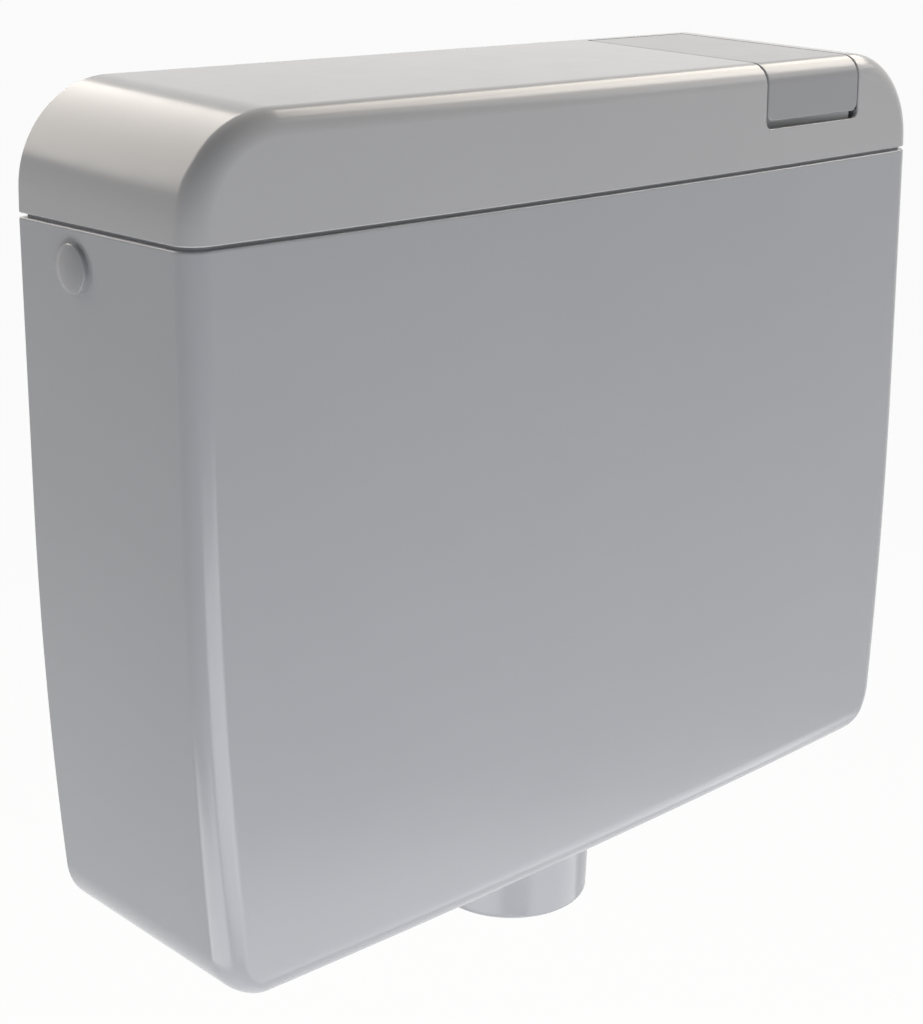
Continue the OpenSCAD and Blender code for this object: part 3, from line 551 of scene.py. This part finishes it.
def surface(name, group, mask, colour, shade, polish, rough, relief, bump, **fixed):
    """A material whose colour, polish and fine relief follow a node group's masks."""
    material = bpy.data.materials.new(name)
    material.use_nodes = True
    tree = material.node_tree
    shader = tree.nodes["Principled BSDF"]
    marks = tree.nodes.new("ShaderNodeGroup")
    marks.node_tree = group
    tint = tree.nodes.new("ShaderNodeMix")
    tint.data_type = "RGBA"
    for socket in tint.inputs:
        if socket.type == "RGBA" and socket.name in "AB":
            scale = 1 - shade if socket.name == "A" else 1 + shade
            socket.default_value = tuple(min(c * scale, 1) for c in colour) + (1,)
    tree.links.new(ranged(tree, marks.outputs[mask], 0, 1), tint.inputs[0])
    colour_out = [s for s in tint.outputs if s.type == "RGBA"][0]
    tree.links.new(colour_out, shader.inputs["Base Color"])
    tree.links.new(ranged(tree, marks.outputs[polish], *rough), shader.inputs["Roughness"])
    height = tree.nodes.new("ShaderNodeBump")
    height.inputs["Strength"].default_value = bump
    height.inputs["Distance"].default_value = 0.0002
    tree.links.new(marks.outputs[relief], height.inputs["Height"])
    tree.links.new(height.outputs["Normal"], shader.inputs["Normal"])
    for label, value in fixed.items():
        shader.inputs[label].default_value = value


def material(name):
    """One of the materials that the finishes operator made."""
    return bpy.data.materials[name]


class CISTERN_OT_finishes(bpy.types.Operator):
    """Make the gloss plastics, the moulded fittings' plastics, the rubber and the metals"""

    bl_idname = "cistern.finishes"
    bl_label = "Finishes"

    def execute(self, context):
        tone = context.scene.cistern_finish
        skin, drawn = moulding_group(), drawn_group()
        for name, colour, rough in (("Tank gloss", tone.tank, (0.18, 0.22)),
                                    ("Lid gloss", tone.lid, (0.18, 0.22)),
                                    ("Plate gloss", tone.plate, (0.2, 0.25))):
            surface(name, skin, "Drift", colour, 0.012, "Smudge", rough, "Skin", 0.008, IOR=1.46)
        for name, colour, shade, rough, bump in (
                ("Fitting white", tone.white, 0.03, (0.34, 0.5), 0.05),
                ("Fitting grey", tone.grey, 0.05, (0.32, 0.48), 0.05),
                ("Float plastic", tone.float_white, 0.03, (0.28, 0.45), 0.04)):
            surface(name, skin, "Drift", colour, shade, "Smudge", rough, "Skin", bump)
        surface("Seal rubber", skin, "Smudge", tone.rubber, 0.35, "Smudge", (0.55, 0.8), "Skin", 0.12)
        surface("Pin steel", drawn, "Clouds", tone.steel, 0.06, "Lines", (0.22, 0.38), "Lines", 0.05,
                Metallic=1.0)
        surface("Cast brass", drawn, "Clouds", tone.brass, 0.14, "Clouds", (0.24, 0.45), "Lines", 0.06,
                Metallic=1.0)
        return {"FINISHED"}


class CISTERN_OT_lid(bpy.types.Operator):
    """Make the lid: a thin moulding with the plate's opening and well, and ribs that stand on the rim"""

    bl_idname = "cistern.lid"
    bl_label = "Lid"

    def soften_window(self, lid, low, gap):
        """Rounds the outer edge of the flush plate's opening, on the front and up to the lid's brow."""
        inside = (PLATE_LOW + PLATE_HIGH) / 2
        size = bpy.context.scene.cistern_form
        brow = size.bow + size.edge_radius - size.depth
        window_round = 0.0006

        def by_window(at):
            return (PLATE_LOW.x - gap - NEAR < at.x < PLATE_HIGH.x + gap + NEAR and at.z > low - NEAR and
                    at.y < brow)

        def on_rim(edge):
            if len(edge.link_faces) != 2 or edge.calc_face_angle(0) < math.radians(40):
                return False
            return by_window((edge.verts[0].co + edge.verts[1].co) / 2) and any(
                f.normal.dot(f.calc_center_median() - inside) > 0 for f in edge.link_faces)

        open_mesh(lid)
        pick(lid, "VERT", lambda v: by_window(v.co))
        bpy.ops.mesh.remove_doubles(threshold=2 * NEAR)
        pick(lid, "EDGE", on_rim)
        bpy.ops.mesh.bevel(offset=window_round, segments=3, profile=0.5, clamp_overlap=False,
                           loop_slide=False)
        close_mesh()

    def execute(self, context):
        size = context.scene.cistern_form
        half = size.width / 2
        rim_round, well_wall, well_sunk = 0.0007, 0.003, 0.001
        lid = lid_block("lid_moulding")
        open_mesh(lid)
        pick(lid, "FACE", lambda f: f.normal.z < -0.9 and f.calc_center_median().z < LID_LOW.z + NEAR)
        bpy.ops.mesh.delete(type="FACE")
        close_mesh()
        apply_modifier(lid, "SOLIDIFY", thickness=size.lid_wall, offset=-1.0, use_even_offset=True)
        open_mesh(lid)
        middle = Vector((0, -size.depth / 2, 0))
        pick(lid, "EDGE", lambda e: all(v.co.z < LID_LOW.z + 1e-5 for v in e.verts) and any(
            f.normal.z > -0.5 and f.normal.dot(f.calc_center_median() - middle) > 0 for f in e.link_faces))
        bpy.ops.mesh.bevel(offset=rim_round, segments=3, profile=0.5, clamp_overlap=False)
        close_mesh()
        low = PLATE_LOW_EDGE - size.plate_stroke
        wells = []
        for x in (PLATE_LOW.x - size.plate_gap - well_wall, PLATE_HIGH.x + size.plate_gap):
            well = lid_block("well")
            open_mesh(well)
            bpy.ops.transform.shrink_fatten(value=-well_sunk, use_even_offset=True)
            cut((x, 0, 0), (1, 0, 0), 1, True)
            cut((x + well_wall, 0, 0), (1, 0, 0), -1, True)
            cut((0, 0, low), (0, 0, 1), 1, True)
            close_mesh()
            wells.append(well)
        carve(lid, window_block("window", size.plate_gap, low))
        self.soften_window(lid, low, size.plate_gap)
        # A shelf and an upright stop close the view through the travel gap, clear of the plate's own walls
        clear, stop_wall, stop_tall, stop_behind = 0.003, 0.0016, 0.011, 0.0043
        shelf_behind, shelf_wall = 0.0006, 0.002
        left, right = PLATE_LOW.x + clear, PLATE_HIGH.x - clear
        stop = front_at(size, left) + stop_behind
        shelf_left, shelf_right = PLATE_LOW.x - clear, PLATE_HIGH.x + clear
        shelf = front_at(size, shelf_right) + shelf_behind
        ribs = [softened_box("shelf", (shelf_left, shelf, low - shelf_wall),
                             (shelf_right, stop + stop_wall, low - 0.0002)),
                softened_box("stop", (left, stop, low - 0.0015), (right, stop + stop_wall, low + stop_tall))]
        foot = TANK_HIGH.z
        rib, rib_reach, rib_tall = 0.0012, 0.007, 0.008
        for side in (-1, 1):
            x0, x1 = sorted((side * (half - rib_reach), side * (half - 0.0017)))
            for share in (0.3, 0.7):
                y = -size.depth * share
                ribs.append(softened_box("rib", (x0, y - rib, foot), (x1, y + rib, foot + rib_tall)))
        for x in (-half / 2, 0.0):
            front = front_at(size, x)
            for y0, y1, tall in ((front + 0.001, front + rib_reach, 0.02), (-rib_reach, -0.001, 0.04)):
                ribs.append(softened_box("rib", (x - rib, y0, foot), (x + rib, y1, foot + tall)))
        join(lid, *wells, *ribs)
        smooth(lid)
        finish(lid, "lid_body", "shell_gloss", material("Lid gloss"), "lid")
        return {"FINISHED"}


class CISTERN_OT_flush_plate(bpy.types.Operator):
    """Make the flush plate: a cap cut from the lid's own form, with its hinge knuckles and its push post"""

    bl_idname = "cistern.flush_plate"
    bl_label = "Flush plate"

    def execute(self, context):
        size = context.scene.cistern_form
        plate = lid_block("flush_plate_cap")
        carve(plate, window_block("plate window", 0.0, PLATE_LOW_EDGE), "INTERSECT")
        open_mesh(plate)
        # The crown starts a sliver inside the plate's right side, so that sliver is drawn onto the side
        sliver, edge_round = 0.0009, 0.0008
        corner_top = PLATE_LOW_EDGE + size.plate_corner + 2 * NEAR
        pick(plate, "VERT", lambda v: v.co.x > PLATE_HIGH.x - sliver and v.co.z > corner_top)
        bpy.ops.transform.resize(value=(0, 1, 1), center_override=(PLATE_HIGH.x, 0, 0))
        bpy.ops.mesh.remove_doubles(threshold=NEAR)
        pick(plate, "EDGE", lambda e: len(e.link_faces) == 2 and e.calc_face_angle(0) > math.radians(50))
        bpy.ops.mesh.bevel(offset=edge_round, segments=4, profile=0.5, clamp_overlap=False)
        underside = PLATE_LOW_EDGE + NEAR
        pick(plate, "FACE", lambda f: f.normal.z < -0.99 and f.calc_center_median().z < underside)
        bpy.ops.mesh.delete(type="FACE")
        close_mesh()
        apply_modifier(plate, "SOLIDIFY", thickness=size.lid_wall, offset=-1.0, use_even_offset=True)
        pin_low, pin_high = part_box("plate_hinge_pin")
        pin = (pin_low + pin_high) / 2
        knuckles = []
        bore, boss, long, ease = 0.0023, 0.0045, 0.005, 0.0004
        web, inset = 0.0044, 0.004
        profile = [(bore, 0), (boss - ease, 0), (boss, ease), (boss, long - ease), (boss - ease, long),
                   (bore, long), (bore, 0)]
        for x in (PLATE_LOW.x + inset, PLATE_HIGH.x - inset - long):
            knuckles.append(turned("knuckle", (x, pin.y, pin.z), (1, 0, 0), profile, 32))
            knuckles.append(softened_box("web", (x, pin.y - web, pin.z + 0.0024),
                                         (x + long, pin.y + web, LID_HIGH.z - 0.0022)))
        push_x, push_y = 0.138, -0.1
        r, tall = 0.004, 0.031
        post = turned("post", (push_x, push_y, PLATE_LOW.z), (0, 0, 1), [
            (AXIS, 0), (r * 0.38, 0.0003), (r * 0.71, r * 0.29), (r * 0.92, r * 0.62), (r, r), (r, tall),
            (AXIS, tall)], 32)
        low, high = PLATE_LOW.z + 0.012, PLATE_LOW.z + 0.027
        fins = [softened_box("fin", (push_x - x, push_y - y, low), (push_x + x, push_y + y, high))
                for x, y in ((0.001, 0.008), (0.008, 0.001))]
        join(plate, post, *fins, *knuckles)
        smooth(plate)
        finish(plate, "plate_body", "plate_gloss", material("Plate gloss"), "flush_plate")
        return {"FINISHED"}


class CISTERN_OT_tank(bpy.types.Operator):
    """Make the tank: barrel sides, bowed front, round toe and corners, stepped rim, slots and inlet holes"""

    bl_idname = "cistern.tank"
    bl_label = "Tank"

    def execute(self, context):
        size = context.scene.cistern_form
        half = size.width / 2
        wall = size.tank_wall
        rim = TANK_HIGH.z
        top = LID_LOW.z - size.seam_gap
        rings = tank_rings(size, 0.0, 0.0)
        step, ease = size.rim_in, 0.0004
        for inward, back, up in (
                (0.0, 0.0, top - 0.09), (0.0, 0.0, top - 0.045), (0.0, 0.0, top - 0.0012),
                (0.0001, 0.0, top - 0.0006), (0.0003, 0.0, top - 0.0003), (0.0007, 0.0, top),
                (step, step, top), (step, step, rim - ease), (step + ease, step + ease, rim),
                (wall - ease, wall - ease, rim), (wall, wall, rim - ease), (wall, wall, top - 0.05)):
            rings.append(tank_ring(size, half - inward, inward, back, up))
        rings += reversed(tank_rings(size, wall, wall))
        tank = ringed("tank_moulding", rings)
        slots = frame["record"]["mounts"][0]["dims"]
        pitch, across, along = (slots[k] / 1000 for k in ("spacing_x_mm", "hole_r_mm", "slot_length_mm"))
        sunk, pad_proud, pad_half = 0.001, 0.003, 0.011
        for side in (-1, 1):
            x = side * pitch / 2
            pad = softened_box("pad", (x - along, -wall - pad_proud, -pad_half), (x + along, -sunk, pad_half),
                               2 * MOULD_R)
            carve(tank, pad, "UNION")
        ledge_low, ledge_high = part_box("rocker_bridge")
        x = (ledge_low.x + ledge_high.x) / 2
        half_long, tall, deep = 0.014, 0.012, 0.011
        for y0, y1 in ((-wall - deep, -sunk), (ledge_low.y - wall / 2, ledge_low.y + deep)):
            ledge = softened_box("ledge", (x - half_long, y0, ledge_low.z - tall),
                                 (x + half_long, y1, ledge_low.z), 0.0005)
            carve(tank, ledge, "UNION")
        for side in (-1, 1):
            x = side * pitch / 2
            slot = block("slot", (x - along / 2, -CUT_REACH, -across), (x + along / 2, CUT_REACH / 2, across))
            open_mesh(slot)
            pick(slot, "EDGE", lambda e: abs(e.verts[0].co.y - e.verts[1].co.y) > 0.01)
            bpy.ops.mesh.bevel(offset=across * 0.999, segments=10, profile=0.5, clamp_overlap=False)
            close_mesh()
            carve(tank, slot)
        for side in (-1, 1):
            at = (side * half - CUT_REACH, INLET_Y, INLET_Z)
            carve(tank, drill("hole", at, (1, 0, 0), THREAD_R + MOULD_R, 2 * CUT_REACH, 48))
        centre = (COLLAR_LOW + COLLAR_HIGH) / 2
        at = (centre.x, centre.y, TANK_LOW.z - 0.01)
        carve(tank, drill("hole", at, (0, 0, 1), OUTLET_R, 0.03, 64))
        smooth(tank)
        finish(tank, "tank_body", "shell_gloss", material("Tank gloss"), "tank")
        return {"FINISHED"}


class CISTERN_OT_outlet_collar(bpy.types.Operator):
    """Make the smooth, slightly tapered outlet collar under the tank"""

    bl_idname = "cistern.outlet_collar"
    bl_label = "Outlet collar"

    def execute(self, context):
        at = ((COLLAR_LOW.x + COLLAR_HIGH.x) / 2, (COLLAR_LOW.y + COLLAR_HIGH.y) / 2, COLLAR_LOW.z)
        tall = COLLAR_HIGH.z - COLLAR_LOW.z
        wide = (COLLAR_HIGH.x - COLLAR_LOW.x) / 2
        end = wide - 0.00175
        ease, lip, ledge = 0.0024, 0.0026, 0.003
        profile = [(PIPE_R, 0), (end - ease, 0)]
        profile += [(end - ease + ease * math.sin(a), ease * (1 - math.cos(a)))
                    for a in (0.3, 0.6, 0.9, 1.2, 1.5)]
        profile += [(end + (wide - end) * t, lip + (tall - lip) * t) for t in (0.0, 0.25, 0.5, 0.75, 0.97)]
        profile += [(wide, tall), (OUTLET_R, tall), (OUTLET_R, ledge), (PIPE_R, ledge), (PIPE_R, 0)]
        collar = turned("outlet_collar", at, (0, 0, 1), profile, 160)
        smooth(collar)
        finish(collar, "tank_body", "shell_gloss", material("Tank gloss"), "outlet_nut")
        return {"FINISHED"}


class CISTERN_OT_blanking_plug(bpy.types.Operator):
    """Make the domed blanking plug on the left, its shank and its thread"""

    bl_idname = "cistern.blanking_plug"
    bl_label = "Blanking plug"

    def execute(self, context):
        at = (-context.scene.cistern_form.width / 2, INLET_Y, INLET_Z)
        proud = at[0] - PLUG_LOW.x
        wide = (PLUG_HIGH.z - PLUG_LOW.z) / 2
        tip, dome = -0.0162, 0.0012
        brim = proud - 0.0019
        profile = [(AXIS, tip), (0.0079, tip), (THREAD_R, -0.0156)]
        for i in range(9):
            up = THREAD_PITCH * i
            profile += [(THREAD_R, -0.0153 + up), (0.0076, -0.0147 + up)]
        profile += [(THREAD_R, -0.0034), (THREAD_R, 0.0), (wide, 0.0), (wide, brim)]
        profile += [(wide - dome + dome * math.cos(a), brim + 0.0007 * math.sin(a))
                    for a in (0.4, 0.8, 1.2, 1.57)]
        profile += [(wide * t, proud - dome * t * t) for t in (0.8, 0.6, 0.4, 0.2, 0.03)]
        profile += [(AXIS, proud)]
        plug = turned("blanking_plug_head", at, (-1, 0, 0), profile, 96)
        smooth(plug)
        finish(plug, "tank_body", "plate_gloss", material("Plate gloss"), "blanking_plug")
        return {"FINISHED"}


class CISTERN_OT_fill_valve(bpy.types.Operator):
    """Make the brass fill valve with its threaded tail, cap, piston and float arm"""

    bl_idname = "cistern.fill_valve"
    bl_label = "Fill valve"

    def execute(self, context):
        brass = material("Cast brass")
        valve = moulded_copy("fill_body", "fill_valve_body", 0.0003)
        bore, root, long = 0.0059, 0.0075, 0.0118
        start = TAIL_HIGH.x - long
        open_mesh(valve)
        cut((start, 0, 0), (1, 0, 0), -1)
        close_mesh()
        profile = [(bore, 0), (root, 0)]
        for i in range(8):
            up = THREAD_PITCH * i
            profile += [(root, 0.0004 + up), (THREAD_R, 0.0009 + up), (THREAD_R, 0.0012 + up)]
        profile += [(root, 0.0113), (root - MOULD_R, long), (bore, long), (bore, 0)]
        thread = turned("tail_thread", (start, INLET_Y, INLET_Z), (1, 0, 0), profile, 64)
        join(valve, thread)
        smooth(valve)
        finish(valve, "tank_body", "brass", brass, "fill_body")
        for node, name, body, radius in (("fill_cap", "fill_valve_cap", "tank_body", 0.0005),
                                         ("fill_piston", "fill_valve_piston", "piston_body", 0.0003),
                                         ("float_arm", "float_lever", "float_body", 0.0004),
                                         ("float_rod", "float_stem", "float_body", 0.0002)):
            finish(moulded_copy(node, name, radius), body, "brass", brass, node)
        return {"FINISHED"}


class CISTERN_OT_fittings(bpy.types.Operator):
    """Make the moulded fittings inside: bridge, rocker, outlet valve, float, tube and nuts"""

    bl_idname = "cistern.fittings"
    bl_label = "Fittings"

    def execute(self, context):
        white, grey = material("Fitting white"), material("Fitting grey")
        for node, name, body, slot, finish_of, radius in (
                ("rocker_bridge", "bridge", "tank_body", "white_plastic", white, 0.0005),
                ("rocker", "rocker_lever", "rocker_body", "grey_plastic", grey, 0.0006),
                ("valve_seat", "outlet_seat", "tank_body", "white_plastic", white, 0.0004),
                ("valve_cage", "outlet_cage", "tank_body", "white_plastic", white, 0.0005),
                ("valve_riser", "overflow_riser", "valve_body", "grey_plastic", grey, 0.0004),
                ("seal_clamp", "seal_holder", "valve_body", "white_plastic", white, 0.0003),
                ("lift_head", "lift_cap", "valve_body", "white_plastic", white, 0.0004),
                ("fill_back_nut", "inlet_nut", "tank_body", "white_plastic", white, 0.0007),
                ("fill_nozzle", "inlet_nozzle", "tank_body", "white_plastic", white, 0.0002),
                ("drop_tube", "quiet_tube", "tank_body", "white_plastic", white, 0.0003),
                ("blanking_nut", "plug_nut", "tank_body", "white_plastic", white, 0.0007),
                ("float", "float_cup", "float_body", "float_plastic", material("Float plastic"), 0.0003)):
            finish(moulded_copy(node, name, radius), body, slot, finish_of, node)
        return {"FINISHED"}


class CISTERN_OT_pins_and_seals(bpy.types.Operator):
    """Make the steel pins, screws and lift rod, and the rubber washers and seals"""

    bl_idname = "cistern.pins_and_seals"
    bl_label = "Pins and seals"

    def execute(self, context):
        for node, name, body, radius in (("plate_hinge_pin", "hinge_pin", "lid_body", 0.0003),
                                         ("bridge_screw_rear", "screw_rear", "tank_body", 0.0002),
                                         ("bridge_screw_front", "screw_front", "tank_body", 0.0002),
                                         ("rocker_pin", "pivot_pin", "tank_body", 0.0003),
                                         ("lift_rod", "lift_stem", "valve_body", 0.0003),
                                         ("float_arm_pin", "lever_pin", "tank_body", 0.0002)):
            finish(moulded_copy(node, name, radius), body, "steel", material("Pin steel"), node)
        for node, name, body in (("seat_washer", "seat_ring", "tank_body"),
                                 ("pipe_seal", "pipe_ring", "tank_body"),
                                 ("valve_seal", "valve_ring", "valve_body"),
                                 ("fill_inlet_washer", "inlet_ring", "tank_body"),
                                 ("piston_washer", "piston_pad", "piston_body"),
                                 ("blanking_washer", "plug_ring", "tank_body")):
            finish(moulded_copy(node, name, 0.0004), body, "rubber", material("Seal rubber"), node)
        return {"FINISHED"}


# Name, place, aim, width, height, watts and colour of each lamp
LAMPS = [
    ("rear softbox", (-0.3, 1.1, 0.75), (-0.1, -0.06, 0.05), 1.4, 0.8, 13, (1.0, 0.93, 0.85)),
    ("right softbox", (1.08, -0.06, 1.05), (0.0, -0.1, 0.05), 0.95, 0.95, 15, (1.0, 0.92, 0.82)),
    ("right front", (1.15, -0.6, 0.88), (0.0, -0.1, 0.05), 0.9, 0.9, 5, (1.0, 0.96, 0.92)),
    ("front low", (-0.35, -1.0, -0.6), (0.0, -0.12, -0.15), 1.1, 0.4, 5.4, (0.96, 0.975, 1.0)),
    ("floor front", (0.3, -0.55, -0.7), (0.1, -0.12, -0.15), 1.0, 0.3, 2, (0.96, 0.975, 1.0)),
    ("floor left", (-0.75, -0.1, -0.7), (-0.2, -0.08, -0.2), 0.9, 0.3, 3, (0.97, 0.98, 1.0)),
]


def seen_directly(tree):
    """1 for rays that see the surroundings plainly: camera, glossy and transmission rays."""
    path = tree.nodes.new("ShaderNodeLightPath")
    total = path.outputs["Is Camera Ray"]
    for label in ("Is Glossy Ray", "Is Transmission Ray"):
        either = tree.nodes.new("ShaderNodeMath")
        either.operation = "MAXIMUM"
        tree.links.new(total, either.inputs[0])
        tree.links.new(path.outputs[label], either.inputs[1])
        total = either.outputs[0]
    return total


def pale_floor():
    """White floor that takes shadows and looks as white as the background."""
    made = bpy.data.materials.new("Pale floor")
    made.use_nodes = True
    tree = made.node_tree
    shader = tree.nodes["Principled BSDF"]
    shader.inputs["Roughness"].default_value = 0.9
    shader.inputs["Base Color"].default_value = (0.86, 0.86, 0.86, 1)
    glow = tree.nodes.new("ShaderNodeEmission")
    mix = tree.nodes.new("ShaderNodeMixShader")
    keep = tree.nodes.new("ShaderNodeMath")
    keep.operation = "MULTIPLY"
    keep.inputs[1].default_value = 0.95
    tree.links.new(seen_directly(tree), keep.inputs[0])
    tree.links.new(keep.outputs[0], mix.inputs[0])
    tree.links.new(shader.outputs[0], mix.inputs[1])
    tree.links.new(glow.outputs[0], mix.inputs[2])
    tree.links.new(mix.outputs[0], tree.nodes["Material Output"].inputs["Surface"])
    return made


def pale_world():
    """Even grey light, white where it is seen."""
    world = bpy.data.worlds.new("Pale surroundings")
    world.use_nodes = True
    tree = world.node_tree
    sky = tree.nodes["Background"]
    sky.inputs["Color"].default_value = (0.95, 0.97, 1.0, 1)
    sky.inputs["Strength"].default_value = 0.22
    white = tree.nodes.new("ShaderNodeBackground")
    white.inputs["Color"].default_value = (1, 1, 1, 1)
    white.inputs["Strength"].default_value = 1.0
    mix = tree.nodes.new("ShaderNodeMixShader")
    tree.links.new(seen_directly(tree), mix.inputs[0])
    tree.links.new(sky.outputs[0], mix.inputs[1])
    tree.links.new(white.outputs[0], mix.inputs[2])
    tree.links.new(mix.outputs[0], tree.nodes["World Output"].inputs["Surface"])
    return world


def soft_lamp(name, at, aim, wide, tall, watts, colour):
    """A soft lamp that is aimed at a point and that the camera doesn't see."""
    start_fresh()
    turn = (Vector(aim) - Vector(at)).to_track_quat("-Z", "Y").to_euler()
    bpy.ops.object.light_add(type="AREA", location=at, rotation=turn)
    lamp = bpy.context.object
    lamp.name = name.replace(" ", "_")
    lamp.data.shape = "RECTANGLE"
    lamp.data.size = wide
    lamp.data.size_y = tall
    lamp.data.energy = watts
    lamp.data.color = colour
    lamp.visible_camera = False


class CISTERN_OT_studio(bpy.types.Operator):
    """Make the floor, the pale surroundings, the soft lamps and the camera"""

    bl_idname = "cistern.studio"
    bl_label = "Studio"

    def execute(self, context):
        scene = context.scene
        studio = scene.cistern_studio
        scene.view_settings.view_transform = "Standard"
        start_fresh()
        bpy.ops.mesh.primitive_plane_add(size=FLOOR_WIDTH, location=(0, 0, studio.floor_z))
        floor = context.object
        floor.name = "floor"
        bpy.ops.object.transform_apply(location=True, rotation=True, scale=True)
        floor.data.materials.append(pale_floor())
        scene.world = pale_world()
        for name, at, aim, wide, tall, watts, colour in LAMPS:
            soft_lamp(name, at, aim, wide, tall, watts, colour)
        start_fresh()
        bpy.ops.object.camera_add(location=studio.camera_at,
                                  rotation=(math.pi / 2 - studio.pitch, 0, -studio.yaw))
        camera = context.object
        camera.name = "camera"
        camera.data.lens = studio.lens
        camera.data.sensor_width = SENSOR
        camera.data.shift_y = studio.shift
        camera.data.clip_start = 0.01
        scene.camera = camera
        return {"FINISHED"}


class CISTERN_PT_panel(bpy.types.Panel):
    """Sizes, colours and pieces of the cistern"""

    bl_idname = "CISTERN_PT_panel"
    bl_label = "Cistern"
    bl_space_type = "VIEW_3D"
    bl_region_type = "UI"
    bl_category = "Cistern"

    def draw(self, context):
        scene = context.scene
        for group in (scene.cistern_form, scene.cistern_finish, scene.cistern_studio):
            box = self.layout.box()
            for name in group.__annotations__:
                box.prop(group, name)
        for operator in OPERATORS:
            self.layout.operator(operator.bl_idname)


OPERATORS = [
    CISTERN_OT_finishes, CISTERN_OT_lid, CISTERN_OT_flush_plate, CISTERN_OT_tank, CISTERN_OT_outlet_collar,
    CISTERN_OT_blanking_plug, CISTERN_OT_fill_valve, CISTERN_OT_fittings, CISTERN_OT_pins_and_seals,
    CISTERN_OT_studio]
CLASSES = [CisternForm, CisternFinish, CisternStudio, *OPERATORS, CISTERN_PT_panel]


def register():
    """Makes the classes and their sizes known to Blender."""
    for part in CLASSES:
        bpy.utils.register_class(part)
    bpy.types.Scene.cistern_form = bpy.props.PointerProperty(type=CisternForm)
    bpy.types.Scene.cistern_finish = bpy.props.PointerProperty(type=CisternFinish)
    bpy.types.Scene.cistern_studio = bpy.props.PointerProperty(type=CisternStudio)


def unregister():
    """Takes them away again, in the other order."""
    del bpy.types.Scene.cistern_studio
    del bpy.types.Scene.cistern_finish
    del bpy.types.Scene.cistern_form
    for part in reversed(CLASSES):
        bpy.utils.unregister_class(part)


def main():
    """Registers the classes and their sizes, then makes every piece in order."""
    register()
    bpy.ops.cistern.finishes()
    bpy.ops.cistern.lid()
    bpy.ops.cistern.flush_plate()
    bpy.ops.cistern.tank()
    bpy.ops.cistern.outlet_collar()
    bpy.ops.cistern.blanking_plug()
    bpy.ops.cistern.fill_valve()
    bpy.ops.cistern.fittings()
    bpy.ops.cistern.pins_and_seals()
    bpy.ops.cistern.studio()


if __name__ == "__main__":
    main()
